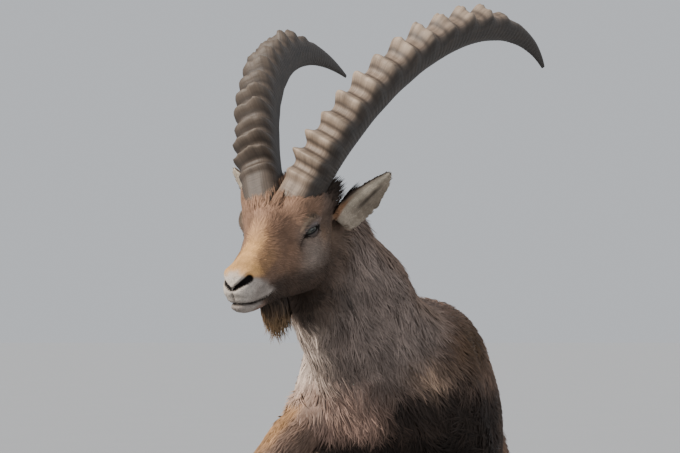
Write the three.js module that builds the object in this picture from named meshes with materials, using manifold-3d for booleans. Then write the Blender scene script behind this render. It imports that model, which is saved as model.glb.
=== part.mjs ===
// An alpine ibex buck at rest, life size: it lies on its chest with the right foreleg reaching
// forward, the left one folded under, the hind legs tucked in, and the head up and turned right.
// Millimetres, +Z up. The buck faces -Y, its left side is +X, and the floor is the plane z = 0.
import * as THREE from "three";
import { mergeVertices } from "three/addons/utils/BufferGeometryUtils.js";
import Module from "manifold-3d";

const wasm = await Module();
wasm.setup();

// Driving sizes of the animal
const BACK_HEIGHT = 432; // floor to the back, lying
const BARREL_WIDTH = 352;
const CHEST_WIDTH = 276;
const BRISKET_Y = -128;
const BUTTOCK_Y = 866;
const HORN_LENGTH = 695; // along the middle of the left horn
const HORN_DEPTH = 78; // front to back at the root
const HORN_WIDTH = 60;
const KNOBS = 13;
const EYE_RADIUS = 16.5;
const EAR_LENGTH = 116;
const BEARD_LENGTH = 80;
const HOOF_LENGTH = 62;
const GAP = 0.35; // between neighbouring pieces

// Grid steps of the modelled surfaces, finer where the forms are smaller
const TRUNK_STEP = 43;
const NECK_STEP = 32;
const HEAD_STEP = 11.4;

const material = (color, roughness) =>
  new THREE.MeshStandardMaterial({ color, roughness, metalness: 0 });
const FINISH = {
  coat: () => material(0x8a6f5c, 0.95),
  face: () => material(0xa07a54, 0.95),
  dark: () => material(0x463429, 0.95),
  beard: () => material(0x7a4e2e, 0.9),
  horn: () => material(0xa08468, 0.7),
  hoof: () => material(0x2c2622, 0.55),
  eye: () => material(0x6b4a1c, 0.15),
};

const V = (x, y, z) => new THREE.Vector3(x, y, z);
const mix = THREE.MathUtils.lerp;
const clamp = THREE.MathUtils.clamp;
const smooth = THREE.MathUtils.smoothstep;
const degrees = THREE.MathUtils.degToRad;
const SIDES = [["left", 1], ["right", -1]];
const mirrored = (v, side) => V(v.x, v.y * side, v.z);

// Forms: functions of a point, negative inside the body and growing with the distance outside it

// A limb from a to b whose radius runs from ra to rb
function limb(a, ra, b, rb) {
  const axis = b.clone().sub(a);
  const square = axis.lengthSq();
  return (x, y, z) => {
    const dx = x - a.x;
    const dy = y - a.y;
    const dz = z - a.z;
    const t = clamp((dx * axis.x + dy * axis.y + dz * axis.z) / square, 0, 1);
    return Math.hypot(dx - axis.x * t, dy - axis.y * t, dz - axis.z * t) - mix(ra, rb, t);
  };
}

// A muscle: an ellipsoid from a to b, with its half width along `across` and its half thickness
function muscle(a, b, width, thickness, across) {
  const centre = a.clone().add(b).multiplyScalar(0.5);
  const along = b.clone().sub(a);
  const length = along.length() / 2;
  along.normalize();
  const side = across.clone().addScaledVector(along, -across.dot(along)).normalize();
  const up = along.clone().cross(side);
  return (x, y, z) => {
    const dx = x - centre.x;
    const dy = y - centre.y;
    const dz = z - centre.z;
    const u = (dx * along.x + dy * along.y + dz * along.z) / length;
    const v = (dx * side.x + dy * side.y + dz * side.z) / width;
    const w = (dx * up.x + dy * up.y + dz * up.z) / thickness;
    const inner = Math.hypot(u, v, w);
    const slope = Math.hypot(u / length, v / width, w / thickness);
    return slope < 1e-9 ? -Math.min(length, width, thickness) : (inner * (inner - 1)) / slope;
  };
}

const ball = (centre, radius) => (x, y, z) =>
  Math.hypot(x - centre.x, y - centre.y, z - centre.z) - radius;

// Several forms run together, with a fillet of about `reach` where they meet
const blend = (reach, ...forms) => (x, y, z) => {
  let total = forms[0](x, y, z);
  for (let i = 1; i < forms.length; i++) {
    const next = forms[i](x, y, z);
    const h = Math.max(reach - Math.abs(total - next), 0) / reach;
    total = Math.min(total, next) - (h * h * reach) / 4;
  }
  return total;
};

// The twelve edges of a grid cell, four along each axis, as pairs of its corners, and its six sides
const CORNERS = [0, 1, 2, 3, 4, 5, 6, 7].map((c) => [c & 1, (c >> 1) & 1, c >> 2]);
const EDGES = [0, 1, 2].flatMap((axis) => CORNERS.filter((c) => !c[axis]).map((from) => ({
  axis,
  from,
  to: from.map((n, i) => n + (i === axis ? 1 : 0)),
})));
const FACES = [0, 1, 2].flatMap((axis) => [0, 1].map((side) =>
  EDGES.map((edge, i) => (edge.axis !== axis && edge.from[axis] === side ? i : -1)).filter((i) => i >= 0)));

// The closed surface of a form inside a box: one vertex for each sheet of the surface in a grid cell,
// moved onto the surface, and one pair of triangles across each grid edge that it cuts
function surface(form, low, high, step) {
  const size = high.clone().sub(low).divideScalar(step).ceil().addScalar(1).toArray();
  const stride = [1, size[0], size[0] * size[1]];
  const at = (c) => c[0] + c[1] * stride[1] + c[2] * stride[2];
  const value = new Float64Array(size[0] * size[1] * size[2]);
  const eachPoint = (visit) => {
    for (let k = 0; k < size[2]; k++)
      for (let j = 0; j < size[1]; j++)
        for (let i = 0; i < size[0]; i++) visit([i, j, k]);
  };
  eachPoint((c) => {
    const rim = c.some((n, axis) => n === 0 || n === size[axis] - 1);
    const distance = form(low.x + c[0] * step, low.y + c[1] * step, low.z + c[2] * step);
    value[at(c)] = rim ? Math.max(distance, step / 4) : distance;
  });
  const vertexOf = new Int32Array(value.length * 12).fill(-1);
  const points = [];
  eachPoint((c) => {
    if (c.some((n, axis) => n === size[axis] - 1)) return;
    const ends = EDGES.map((edge) =>
      [edge.from, edge.to].map((corner) => at(c.map((n, i) => n + corner[i]))));
    const cut = ends.map(([a, b]) => value[a] < 0 !== value[b] < 0);
    if (!cut.includes(true)) return;
    const sheet = EDGES.map((_, i) => i);
    const innerEnd = ends.map(([a, b]) => (value[a] < 0 ? a : b));
    for (const face of FACES) {
      const crossed = face.filter((i) => cut[i]);
      for (const i of crossed)
        for (const j of crossed)
          if (crossed.length === 2 || innerEnd[i] === innerEnd[j]) {
            const [keep, drop] = [sheet[i], sheet[j]];
            sheet.forEach((s, n) => { if (s === drop) sheet[n] = keep; });
          }
    }
    for (const id of new Set(sheet.filter((_, i) => cut[i]))) {
      const members = EDGES.map((_, i) => i).filter((i) => cut[i] && sheet[i] === id);
      const sum = V(0, 0, 0);
      for (const i of members) {
        const [fa, fb] = ends[i].map((n) => value[n]);
        const share = fa / (fa - fb);
        sum.add(V(...c.map((n, axis) => n + mix(EDGES[i].from[axis], EDGES[i].to[axis], share))));
        vertexOf[at(c) * 12 + i] = points.length;
      }
      points.push(settled(form, sum.divideScalar(members.length).multiplyScalar(step).add(low), step));
    }
  });
  const index = [];
  eachPoint((c) => {
    for (let axis = 0; axis < 3; axis++) {
      const [p, q] = [(axis + 1) % 3, (axis + 2) % 3];
      if (c[axis] === size[axis] - 1 || c[p] === 0 || c[q] === 0) continue;
      const inside = value[at(c)] < 0;
      if (inside === value[at(c) + stride[axis]] < 0) continue;
      const ring = [[1, 1], [0, 1], [0, 0], [1, 0]].map(([dp, dq]) => {
        const edge = EDGES.findIndex((e) => e.axis === axis && e.from[p] === dp && e.from[q] === dq);
        return vertexOf[(at(c) - dp * stride[p] - dq * stride[q]) * 12 + edge];
      });
      if (!inside) ring.reverse();
      const [a, b, d, e] = ring;
      const shorter = points[a].distanceToSquared(points[d]) < points[b].distanceToSquared(points[e]);
      index.push(...(shorter ? [a, b, d, a, d, e] : [a, b, e, b, d, e]));
    }
  });
  return geometryOf(points, index);
}

// A point drawn onto the zero level of a form, by at most half a grid step
function settled(form, start, step) {
  const p = start.clone();
  const d = step / 50;
  for (let turn = 0; turn < 4; turn++) {
    const slope = V(
      form(p.x + d, p.y, p.z) - form(p.x - d, p.y, p.z),
      form(p.x, p.y + d, p.z) - form(p.x, p.y - d, p.z),
      form(p.x, p.y, p.z + d) - form(p.x, p.y, p.z - d),
    ).divideScalar(2 * d);
    const excess = clamp(form(p.x, p.y, p.z), -step / 3, step / 3);
    p.addScaledVector(slope, -excess / Math.max(slope.lengthSq(), 0.2));
  }
  return start.clone().add(p.sub(start).clampLength(0, step / 2));
}

function geometryOf(points, index) {
  const geometry = new THREE.BufferGeometry();
  const numbers = points.flatMap((p) => p.toArray());
  geometry.setAttribute("position", new THREE.Float32BufferAttribute(numbers, 3));
  geometry.setIndex(index);
  return geometry;
}

// The same surface with its faces outwards
function facingOut(geometry) {
  const [a, b, c] = [V(), V(), V()];
  const { index, attributes } = geometry;
  let volume = 0;
  for (let i = 0; i < index.count; i += 3) {
    [a, b, c].forEach((p, n) => p.fromBufferAttribute(attributes.position, index.getX(i + n)));
    volume += a.dot(b.cross(c));
  }
  if (volume < 0) geometry.setIndex(Array.from(index.array).reverse());
  return geometry;
}

// A closed skin over a row of rings with the same number of points, and a point in each end's middle
function loft(rings) {
  const sides = rings[0].length;
  const points = rings.flat();
  const index = [];
  for (let r = 0; r + 1 < rings.length; r++)
    for (let s = 0; s < sides; s++) {
      const a = r * sides + s;
      const b = r * sides + ((s + 1) % sides);
      index.push(a, b, b + sides, a, b + sides, a + sides);
    }
  for (const [ring, turned] of [[0, true], [rings.length - 1, false]]) {
    const middle = rings[ring].reduce((sum, p) => sum.add(p), V(0, 0, 0)).divideScalar(sides);
    points.push(middle);
    for (let s = 0; s < sides; s++) {
      const pair = [ring * sides + s, ring * sides + ((s + 1) % sides)];
      index.push(points.length - 1, ...(turned ? pair.reverse() : pair));
    }
  }
  return facingOut(geometryOf(points, index));
}

// A row of rings along a path: each stop gives its place, the ring's two axes and its outline
const rings = (stops, sides) => stops.map(({ place, across, up, outline }) =>
  Array.from({ length: sides }, (_, s) => {
    const [a, b] = outline((2 * Math.PI * s) / sides);
    return place.clone().addScaledVector(across, a).addScaledVector(up, b);
  }));

// Solids: the same surfaces as bodies that can be joined and cut
function solid(geometry) {
  const bare = geometry.clone();
  bare.deleteAttribute("normal");
  bare.deleteAttribute("uv");
  const merged = mergeVertices(bare, 1e-4);
  return new wasm.Manifold(new wasm.Mesh({
    numProp: 3,
    vertProperties: new Float32Array(merged.attributes.position.array),
    triVerts: new Uint32Array(merged.index.array),
  }));
}

function geometryFrom(body) {
  const mesh = body.getMesh();
  const points = [];
  for (let i = 0; i < mesh.numVert; i++)
    points.push(V(...mesh.vertProperties.subarray(i * mesh.numProp, i * mesh.numProp + 3)));
  return geometryOf(points, Array.from(mesh.triVerts));
}

// The largest closed surface of a body
const largest = (body) => body.decompose().sort((a, b) => b.volume() - a.volume())[0];

// A body with its surface moved outwards by `distance`
function grown(body, distance = GAP) {
  const geometry = geometryFrom(body);
  geometry.computeVertexNormals();
  const { position, normal } = geometry.attributes;
  for (let i = 0; i < position.count; i++) {
    const way = V().fromBufferAttribute(normal, i);
    const p = V().fromBufferAttribute(position, i).addScaledVector(way, distance);
    position.setXYZ(i, p.x, p.y, p.z);
  }
  return solid(geometry);
}

// Everything on the side of a plane that its normal points to, half a gap clear of the plane
function beyond(point, normal, clearance = GAP / 2) {
  const size = 4000;
  const box = new THREE.BoxGeometry(size, size, size).translate(0, 0, size / 2 + clearance);
  const turn = new THREE.Quaternion().setFromUnitVectors(V(0, 0, 1), normal.clone().normalize());
  return solid(box.applyQuaternion(turn).translate(point.x, point.y, point.z));
}
const beyondAll = (planes, clearance) =>
  planes.map((p) => beyond(...p, clearance)).reduce((a, b) => a.intersect(b));
const opposite = ([point, normal]) => [point, normal.clone().negate()];

const ibex = new THREE.Group();
const bodies = {};
function node(name, body, finish, parent = ibex) {
  bodies[name] = largest(body);
  const mesh = new THREE.Mesh(geometryFrom(bodies[name]), FINISH[finish]());
  mesh.name = name;
  parent.add(mesh);
  return bodies[name];
}

// Head: its frame has x to the nose, y to the left, z up, and the origin midway between the eyes
const HEAD_PLACE = V(-192, -250, 544);
const HEAD_TURN = degrees(62); // 90 faces along -Y, less is turned to the buck's right
const HEAD_DROP = degrees(10.6);
const HEAD_TILT = degrees(-2.8);
const headMatrix = (() => {
  const level = Math.cos(HEAD_DROP);
  const forward = V(-Math.cos(HEAD_TURN) * level, -Math.sin(HEAD_TURN) * level, -Math.sin(HEAD_DROP));
  const left = V(Math.sin(HEAD_TURN), -Math.cos(HEAD_TURN), 0).applyAxisAngle(forward, HEAD_TILT);
  return new THREE.Matrix4().makeBasis(forward, left, forward.clone().cross(left)).setPosition(HEAD_PLACE);
})();
const inHead = (x, y, z) => V(x, y, z).applyMatrix4(headMatrix);
const inBody = (body) => solid(geometryFrom(body).applyMatrix4(headMatrix));
const ACROSS = V(0, 1, 0);
const both = (make) => [make(1), make(-1)];

const EYE_PLACE = V(0, 46.5, 1);
const EYE_OUT = V(0.36, 0.92, 0.14).normalize(); // the way the left eye looks
const skull = blend(24,
  muscle(V(-114, 0, 6), V(10, 0, 12), 54, 54, ACROSS),
  muscle(V(-76, 0, 24), V(70, 0, 10), 50, 37, ACROSS),
  ...both((s) => muscle(V(-70, 33 * s, 42), V(24, 37 * s, 46), 33, 27, ACROSS)),
  limb(V(30, 0, -12), 33, V(122, 0, -46), 21),
  ...both((s) => limb(V(16, 15 * s, -36), 34, V(114, 11 * s, -60), 18)),
  ...both((s) => muscle(V(-90, 32 * s, -32), V(42, 35 * s, -46), 24, 47, ACROSS)),
  ...both((s) => limb(V(-62, 28 * s, -76), 24, V(96, 9 * s, -88), 14)),
);
const headForm = blend(8,
  blend(10,
    skull,
    ...both((s) => muscle(V(-30, 45 * s, 19), V(30, 45 * s, 14), 20, 15, ACROSS)),
    ...both((s) => muscle(V(-44, 45 * s, -20), V(48, 38 * s, -34), 16, 12, ACROSS)),
    muscle(V(110, 0, -49), V(161, 0, -55), 23, 20, ACROSS),
    ...both((s) => muscle(V(86, 14 * s, -68), V(164, 9 * s, -71), 16, 16, ACROSS)),
    ...both((s) => muscle(V(120, 16 * s, -43), V(157, 11 * s, -51), 10, 11, ACROSS)),
    muscle(V(82, 0, -98), V(155, 0, -94), 19, 14, ACROSS),
  ),
  ...both((s) => ball(mirrored(EYE_PLACE, s), EYE_RADIUS + 3.2)),
);
const HEAD_CUT = [V(-96, 0, -20), V(0.86, 0, 0.51)];
const LIP_FRONT = V(167, 0, -82);
const LIP_CORNER = V(94, 0, -80);
const JAW_JOINT = V(-76, 0, -46);
const overLine = (a, b) => [a, V(b.z - a.z, 0, a.x - b.x).multiplyScalar(Math.sign(a.x - b.x))];
const LIP_PLANE = overLine(LIP_FRONT, LIP_CORNER);
const JAW_PLANE = overLine(LIP_CORNER, JAW_JOINT);

// A ray in the head from `start` along `way` to where it leaves the form
function skinAlong(form, start, way, far = 120) {
  let near = 0;
  for (let i = 0; i < 40; i++) {
    const middle = (near + far) / 2;
    const p = start.clone().addScaledVector(way, middle);
    if (form(p.x, p.y, p.z) < 0) near = middle;
    else far = middle;
  }
  return start.clone().addScaledVector(way, near);
}

// A limb's skin as rings square to the line between two joints, reaching past each by its radius
function sleeve(form, from, to, reachFrom, reachTo, sides, count) {
  const along = to.clone().sub(from);
  const length = along.length();
  along.normalize();
  const across = V(1, 0, 0).addScaledVector(along, -along.x).normalize();
  const up = along.clone().cross(across);
  return solid(loft(Array.from({ length: count + 1 }, (_, i) => {
    const t = (1 - Math.cos((Math.PI * i) / count)) / 2;
    const reach = mix(-0.94 * reachFrom, length + 0.94 * reachTo, mix(i / count, t, 0.6));
    const centre = from.clone().addScaledVector(along, reach);
    return Array.from({ length: sides }, (__, n) => {
      const a = (2 * Math.PI * n) / sides;
      const way = across.clone().multiplyScalar(Math.cos(a)).addScaledVector(up, Math.sin(a));
      return skinAlong(form, centre, way);
    });
  }))).intersect(beyond(...FLOOR));
}

// The groove between the lips: a thin tube along the skin, from one corner round to the other
function lipGroove() {
  const centre = LIP_CORNER.clone().lerp(LIP_FRONT, 0.16);
  const forward = LIP_FRONT.clone().sub(LIP_CORNER).normalize();
  const count = 18;
  const path = Array.from({ length: count + 1 }, (_, i) => {
    const angle = mix(-1, 1, i / count) * degrees(93);
    const way = forward.clone().multiplyScalar(Math.cos(angle)).addScaledVector(ACROSS, Math.sin(angle));
    return skinAlong(headForm, centre, way);
  });
  const stops = path.map((place, i) => {
    const along = path[Math.min(i + 1, count)].clone().sub(path[Math.max(i - 1, 0)]).normalize();
    const up = V(0, 0, 1);
    const across = up.clone().cross(along).normalize();
    const radius = 2.7 * Math.sqrt(Math.max(1 - Math.abs(mix(-1, 1, i / count)) ** 6, 0.08));
    return { place, across, up, outline: (a) => [radius * Math.sin(a), -radius * Math.cos(a)] };
  });
  return solid(loft(rings(stops, 6)));
}

// An ellipsoid as a solid, its poles along z before it is turned
function pebble(centre, along, halfLength, across, halfWidth, halfDepth, detail = 9) {
  const z = along.clone().normalize();
  const x = across.clone().addScaledVector(z, -across.dot(z)).normalize();
  const turn = new THREE.Matrix4().makeBasis(x, z.clone().cross(x), z).setPosition(centre);
  const round = new THREE.SphereGeometry(1, detail, (detail * 2) / 3).rotateX(Math.PI / 2);
  return solid(round.scale(halfWidth, halfDepth, halfLength).applyMatrix4(turn));
}

const eyeball = (side, radius) =>
  pebble(mirrored(EYE_PLACE, side), mirrored(EYE_OUT, side), radius, V(0, 0, 1), radius, radius, 12);

// The opening between the lids of one eye, an almond that widens outwards from the eye's middle
function lidOpening(side) {
  const out = mirrored(EYE_OUT, side);
  const long = V(0.93, -0.2 * side, -0.3);
  long.addScaledVector(out, -long.dot(out)).normalize();
  const up = out.clone().cross(long).multiplyScalar(side > 0 ? -1 : 1);
  const stops = [4, 15, 26].map((distance) => ({
    place: mirrored(EYE_PLACE, side)
      .addScaledVector(out, distance).addScaledVector(up, -0.12 * distance),
    across: long.clone(),
    up: long.clone().cross(out).negate(),
    outline: (a) => {
      const c = Math.cos(a);
      const bow = Math.sin(a) * (1 - 0.42 * c * c);
      return [0.98 * distance * c, 0.33 * distance * bow];
    },
  }));
  return solid(loft(rings(stops, 12)));
}

let headBlock = solid(surface(headForm, V(-134, -82, -136), V(206, 82, 100), HEAD_STEP));
headBlock = headBlock.intersect(beyond(...HEAD_CUT)).subtract(lipGroove());
for (const s of [1, -1]) {
  const nostril = V(152, 13 * s, -51);
  const slit = V(0.62, -0.5 * s, -0.34);
  headBlock = headBlock
    .subtract(pebble(nostril, slit, 12, V(0, 0, 1), 4.6, 6.5))
    .subtract(eyeball(s, EYE_RADIUS + GAP))
    .subtract(lidOpening(s));
}
const jawRegion = beyond(...opposite(LIP_PLANE)).add(beyond(...opposite(JAW_PLANE)));
let jaw = largest(headBlock.intersect(jawRegion));
let head = largest(headBlock.intersect(beyondAll([LIP_PLANE, JAW_PLANE])));

// Horns: each runs up out of the brow and back in one bow, leaning outwards, with a squarish front
// that carries the knobs and a narrower back
const HORN_BEND = {
  left: { start: degrees(24.7), turn: 1.76, lean: degrees(22.4), reach: 1, slim: 0.36 },
  right: { start: degrees(36.8), turn: 1.385, lean: degrees(21.8), reach: 0.9, slim: 0.22 },
};
const HORN_TURN = degrees(8.9);
function horn(name, side) {
  const { start, turn, lean, reach, slim } = HORN_BEND[name];
  const length = reach * HORN_LENGTH;
  const knobAt = (n) => 0.0404 * n + 0.0016 * n * n;
  const sunk = knobAt(-5 / 3);
  const count = 240;
  const place = V(-30, 40, 72);
  const bendAt = (t) => start + turn * t + 0.13 * t * t;
  const alongTo = (t) => {
    const flat = V(0, 0, 0);
    for (let i = 0; i < count; i++) {
      const angle = bendAt((t * (i + 0.5)) / count);
      flat.add(V(-Math.sin(angle), 0, Math.cos(angle)).multiplyScalar((t * length) / count));
    }
    return flat;
  };
  // three rings to each knob, and a few for the smooth tip
  const knobbed = Array.from({ length: 3 * KNOBS + 5 }, (_, i) => (i - 5) / 3);
  const last = knobbed[knobbed.length - 1];
  const tip = [0.22, 0.44, 0.64, 0.82, 0.94, 1].map((u) => mix(knobAt(last), 1, u));
  const trail = [...knobbed.map((n) => ({ n, t: knobAt(n) })), ...tip.map((t) => ({ n: KNOBS + 2, t }))];
  const outward = (v) => {
    const p = V(v.x, v.y, v.z).applyAxisAngle(V(1, 0, 0), -lean);
    return mirrored(p.applyAxisAngle(V(0, 0, 1), -HORN_TURN), side);
  };
  const stops = trail.map(({ n, t }) => {
    const flat = alongTo(t);
    const angle = bendAt(t);
    const narrowing = slim * t + (0.92 - slim) * Math.max(t, 0) ** 2.8;
    const taper = Math.max(1 - narrowing, 0.07) * (t < 0 ? 0.98 : 1);
    const fromKnob = Math.abs(n - Math.round(n));
    const strong = smooth(n, -0.8, 0.6) * (1 - smooth(n, KNOBS - 2.6, KNOBS + 0.4));
    const third = 0.8 - 0.2 * Math.cos((2 * Math.PI * n) / 3) * (1 - t);
    const knob = strong * third * Math.exp(-((fromKnob / 0.24) ** 2)) * (21 + 10 * t * (1 - t) - 8 * t);
    const valley = strong * smooth(fromKnob, 0.2, 0.33) * 2;
    const depth = (HORN_DEPTH / 2) * taper;
    const width = (HORN_WIDTH / 2) * taper;
    const spot = V(flat.x, 9 * t * Math.abs(t), flat.z);
    return {
      place: outward(spot).add(mirrored(place, side)),
      across: outward(V(0, 1, 0)),
      up: outward(V(Math.cos(angle), 0, Math.sin(angle))),
      outline: (a) => {
        const c = Math.cos(a);
        const s = Math.sin(a);
        const square = (Math.abs(c) ** 3.1 + Math.abs(s) ** 3.1) ** (-1 / 3.1);
        const oval = (Math.abs(c) ** 2 + Math.abs(s) ** 2) ** -0.5;
        const front = smooth(c, -0.5, 0.5);
        const bulk = mix(oval, square, front);
        const inner = smooth(side * s, -0.7, 0.7);
        const lift = (knob * mix(0.72, 1.05, inner) - valley) * smooth(c, 0.05, 0.66);
        const flare = 1 + 0.006 * knob * smooth(c, 0, 0.6);
        return [-side * width * s * bulk * mix(0.86, 1, front) * flare, depth * c * bulk + lift];
      },
    };
  });
  return solid(loft(rings(stops, 12))).intersect(beyond(V(0, 0, 0), V(0, side, 0)));
}
for (const [name, side] of SIDES) {
  const body = horn(name, side);
  head = head.subtract(grown(body));
  node(`horn_${name}`, inBody(body), "horn");
}

// Ears: leaves rolled into a cup, opening forwards and outwards
function ear(side) {
  const root = V(-96, 55, -4);
  const way = V(0.01, 0.77, 0.64).normalize();
  const open = V(0.86, 0.42, -0.3);
  const face = open.clone().addScaledVector(way, -open.dot(way)).normalize();
  const across = face.clone().cross(way);
  const count = 10;
  const stops = Array.from({ length: count + 1 }, (_, i) => {
    const t = i / count;
    const half = 4 + 25 * Math.sin(Math.PI * Math.min(0.18 + 0.8 * t ** 1.1, 1)) ** 0.85 * (1 - 0.3 * t);
    const cup = mix(0.95, 0.42, t) * smooth(t, -0.05, 0.3);
    const thick = mix(13, 2.6, smooth(t, 0, 0.34));
    const bow = 14 * t * t;
    const outline = (a) => {
      const u = Math.cos(a);
      const rear = Math.sin(a) < 0 ? 1 : 0;
      const arch = half * cup * (1 - u * u);
      const edge = Math.sqrt(Math.max(1 - u * u, 0)) * thick;
      return [half * u, -arch - (rear ? edge : -edge * 0.1 * (1 - t)) - bow];
    };
    return {
      place: mirrored(root.clone().addScaledVector(way, t * EAR_LENGTH), side),
      across: mirrored(across, side).multiplyScalar(side),
      up: mirrored(face, side),
      outline,
    };
  });
  return solid(loft(rings(stops, 12)));
}
for (const [name, side] of SIDES) {
  const body = ear(side);
  const eye = eyeball(side, EYE_RADIUS);
  node(`ear_${name}`, inBody(body.subtract(grown(head))), "face");
  node(`eye_${name}`, inBody(eye), "eye");
}

// Beard: flat tapered locks from a mat under the chin, bending back and overlapping
function lock(root, way, bend, length, width, thickness, flat, count = 4) {
  const stops = Array.from({ length: count + 1 }, (_, i) => {
    const t = i / count;
    const place = root.clone().addScaledVector(way, length * t).addScaledVector(bend, length * t * t);
    const along = way.clone().addScaledVector(bend, 2 * t).normalize();
    const across = flat.clone().addScaledVector(along, -flat.dot(along)).normalize();
    const taper = Math.max(1 - t ** 2.2, 0.1);
    const outline = (a) => [width * taper * Math.cos(a), thickness * taper * Math.sin(a)];
    return { place, across, up: along.clone().cross(across), outline };
  });
  return solid(loft(rings(stops, 4)));
}
function beard() {
  let total = pebble(V(28, 0, -102), V(1, 0, 0.02), 34, ACROSS, 15, 11);
  for (const [row, back] of [0.1, 0.42, 0.74, 1].entries())
    for (const s of row % 2 ? [-0.5, 0.5] : [-0.9, 0, 0.9]) {
      const root = V(mix(54, 6, back), 10 * s, -104);
      const way = V(mix(-0.1, -0.34, back), 0.2 * s, -0.94).normalize();
      const bend = V(-0.16 - 0.06 * s, -0.1 * s, 0.04);
      const length = BEARD_LENGTH * (0.9 - 0.16 * Math.abs(s) + 0.14 * Math.sin(3 * row + 2 * s));
      total = total.add(lock(root, way, bend, length, 12.5, 6.5, V(0.3 * s, 1, 0)));
    }
  return total;
}
const beardBody = beard().subtract(grown(jaw));
node("beard", inBody(beardBody), "beard");
node("lower_jaw", inBody(jaw), "face");
node("head", inBody(head), "face");

// Neck, from the back of the head down to the withers and the brisket
const NECK_PATH = [
  { at: inHead(-60, 0, -14), radius: 57 },
  { at: V(-124, -112, 516), radius: 68 },
  { at: V(-84, -62, 450), radius: 86 },
  { at: V(-34, 0, 345), radius: 114 },
];
const neckForm = blend(36,
  ...NECK_PATH.slice(1).map((to, i) =>
    limb(NECK_PATH[i].at, NECK_PATH[i].radius, to.at, to.radius)),
  limb(V(-126, -92, 528), 46, V(4, 112, 368), 62),
  limb(inHead(-40, 0, -74), 36, V(-62, -74, 322), 77),
);

// Trunk: sections along y, each with its middle x, half width, lowest and highest z
const TRUNK = [
  { y: BRISKET_Y, x: -34, half: 0, low: 272, high: 272 },
  { y: -70, x: -28, half: 0.72 * CHEST_WIDTH / 2, low: 176, high: 374 },
  { y: 40, x: -10, half: CHEST_WIDTH / 2, low: 62, high: BACK_HEIGHT - 20 },
  { y: 190, x: 6, half: 0.95 * BARREL_WIDTH / 2, low: -8, high: BACK_HEIGHT },
  { y: 370, x: 8, half: BARREL_WIDTH / 2, low: -12, high: BACK_HEIGHT - 18 },
  { y: 560, x: 12, half: 0.78 * BARREL_WIDTH / 2, low: 18, high: BACK_HEIGHT - 16 },
  { y: 695, x: 14, half: 0.66 * BARREL_WIDTH / 2, low: 76, high: BACK_HEIGHT - 8 },
  { y: 805, x: 12, half: 0.5 * BARREL_WIDTH / 2, low: 130, high: BACK_HEIGHT - 56 },
  { y: BUTTOCK_Y, x: 12, half: 0, low: 258, high: 258 },
];
const ROUNDNESS = 2.3; // 2 gives ellipses, more gives squarer sections
const SPINE_LEAN = 36; // how far the line of the back lies over to the left

// The section at y, run smoothly through the list; the squares of its half sizes close both ends
function sectionAt(y) {
  const last = TRUNK.length - 1;
  let i = 0;
  while (i < last - 1 && y > TRUNK[i + 1].y) i++;
  const t = (y - TRUNK[i].y) / (TRUNK[i + 1].y - TRUNK[i].y);
  const run = (read) => {
    const [a, b, c, d] = [i - 1, i, i + 1, i + 2].map((n) => read(TRUNK[clamp(n, 0, last)]));
    const [square, cube] = [2 * a - 5 * b + 4 * c - d, 3 * b - a - 3 * c + d];
    return 0.5 * (2 * b + (c - a) * t + square * t * t + cube * t ** 3);
  };
  return {
    x: run((s) => s.x),
    z: run((s) => (s.low + s.high) / 2),
    half: Math.sqrt(Math.max(run((s) => s.half ** 2), 1)),
    tall: Math.sqrt(Math.max(run((s) => ((s.high - s.low) / 2) ** 2), 1)),
  };
}
const trunkForm = (x, y, z) => {
  const inside = clamp(y, BRISKET_Y, BUTTOCK_Y);
  const s = sectionAt(inside);
  const lean = SPINE_LEAN * clamp((z - 300) / 130, 0, 1) ** 2;
  const u = Math.abs(x - s.x - lean) / s.half;
  const w = Math.abs(z - s.z) / s.tall;
  const radial = ((u ** ROUNDNESS + w ** ROUNDNESS) ** (1 / ROUNDNESS) - 1) * Math.min(s.half, s.tall);
  return Math.hypot(Math.max(radial, 0), y - inside) + Math.min(radial, 0);
};

// Joints of the legs as they lie: the left foreleg folded, the right one reaching forward
const FORE = {
  left: {
    blade: V(56, 128, 380), top: V(76, -38, 290), middle: V(122, 40, 128), wrist: V(84, -178, 42),
    fetlock: V(60, -48, 26), hoof: V(54, 2, 24), toe: V(50, 60, 14), sole: V(0, 0, 1),
  },
  right: {
    blade: V(-60, 130, 384), top: V(-92, 10, 324), middle: V(-146, -66, 246), wrist: V(-264, -236, 121),
    fetlock: V(-312, -346, 46), hoof: V(-325, -376, 34), toe: V(-348, -432, 30), sole: V(0, 0, -1),
  },
};
const HIND = {
  left: {
    top: V(86, 706, 286), middle: V(148, 536, 156), wrist: V(174, 782, 52),
    fetlock: V(190, 634, 26), hoof: V(194, 598, 25), toe: V(200, 540, 20), sole: V(0.25, 0, -1),
  },
  right: {
    top: V(-62, 706, 286), middle: V(-124, 544, 154), wrist: V(-150, 790, 52),
    fetlock: V(-166, 644, 26), hoof: V(-170, 608, 25), toe: V(-178, 550, 20), sole: V(-0.25, 0, -1),
  },
};
const trunkMuscles = SIDES.flatMap(([name, s]) => {
  const f = FORE[name];
  const h = HIND[name];
  const ham = h.top.clone().add(V(6 * s, 132, -112));
  const flank = h.top.clone().add(V(16 * s, -126, 10));
  return [
    muscle(f.blade.clone().add(V(0, 40, 30)), f.top.clone().add(V(0, -34, -30)), 60, 46, V(0, 1, 1)),
    limb(f.top, 54, f.middle, 48),
    limb(h.top.clone().add(V(-14 * s, 30, -10)), 96, h.middle, 63),
    muscle(ham, flank, 62, 88, V(1, 0, 0)),
  ];
});
const fleshForm = blend(50, blend(44, trunkForm, ...trunkMuscles), neckForm);

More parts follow.
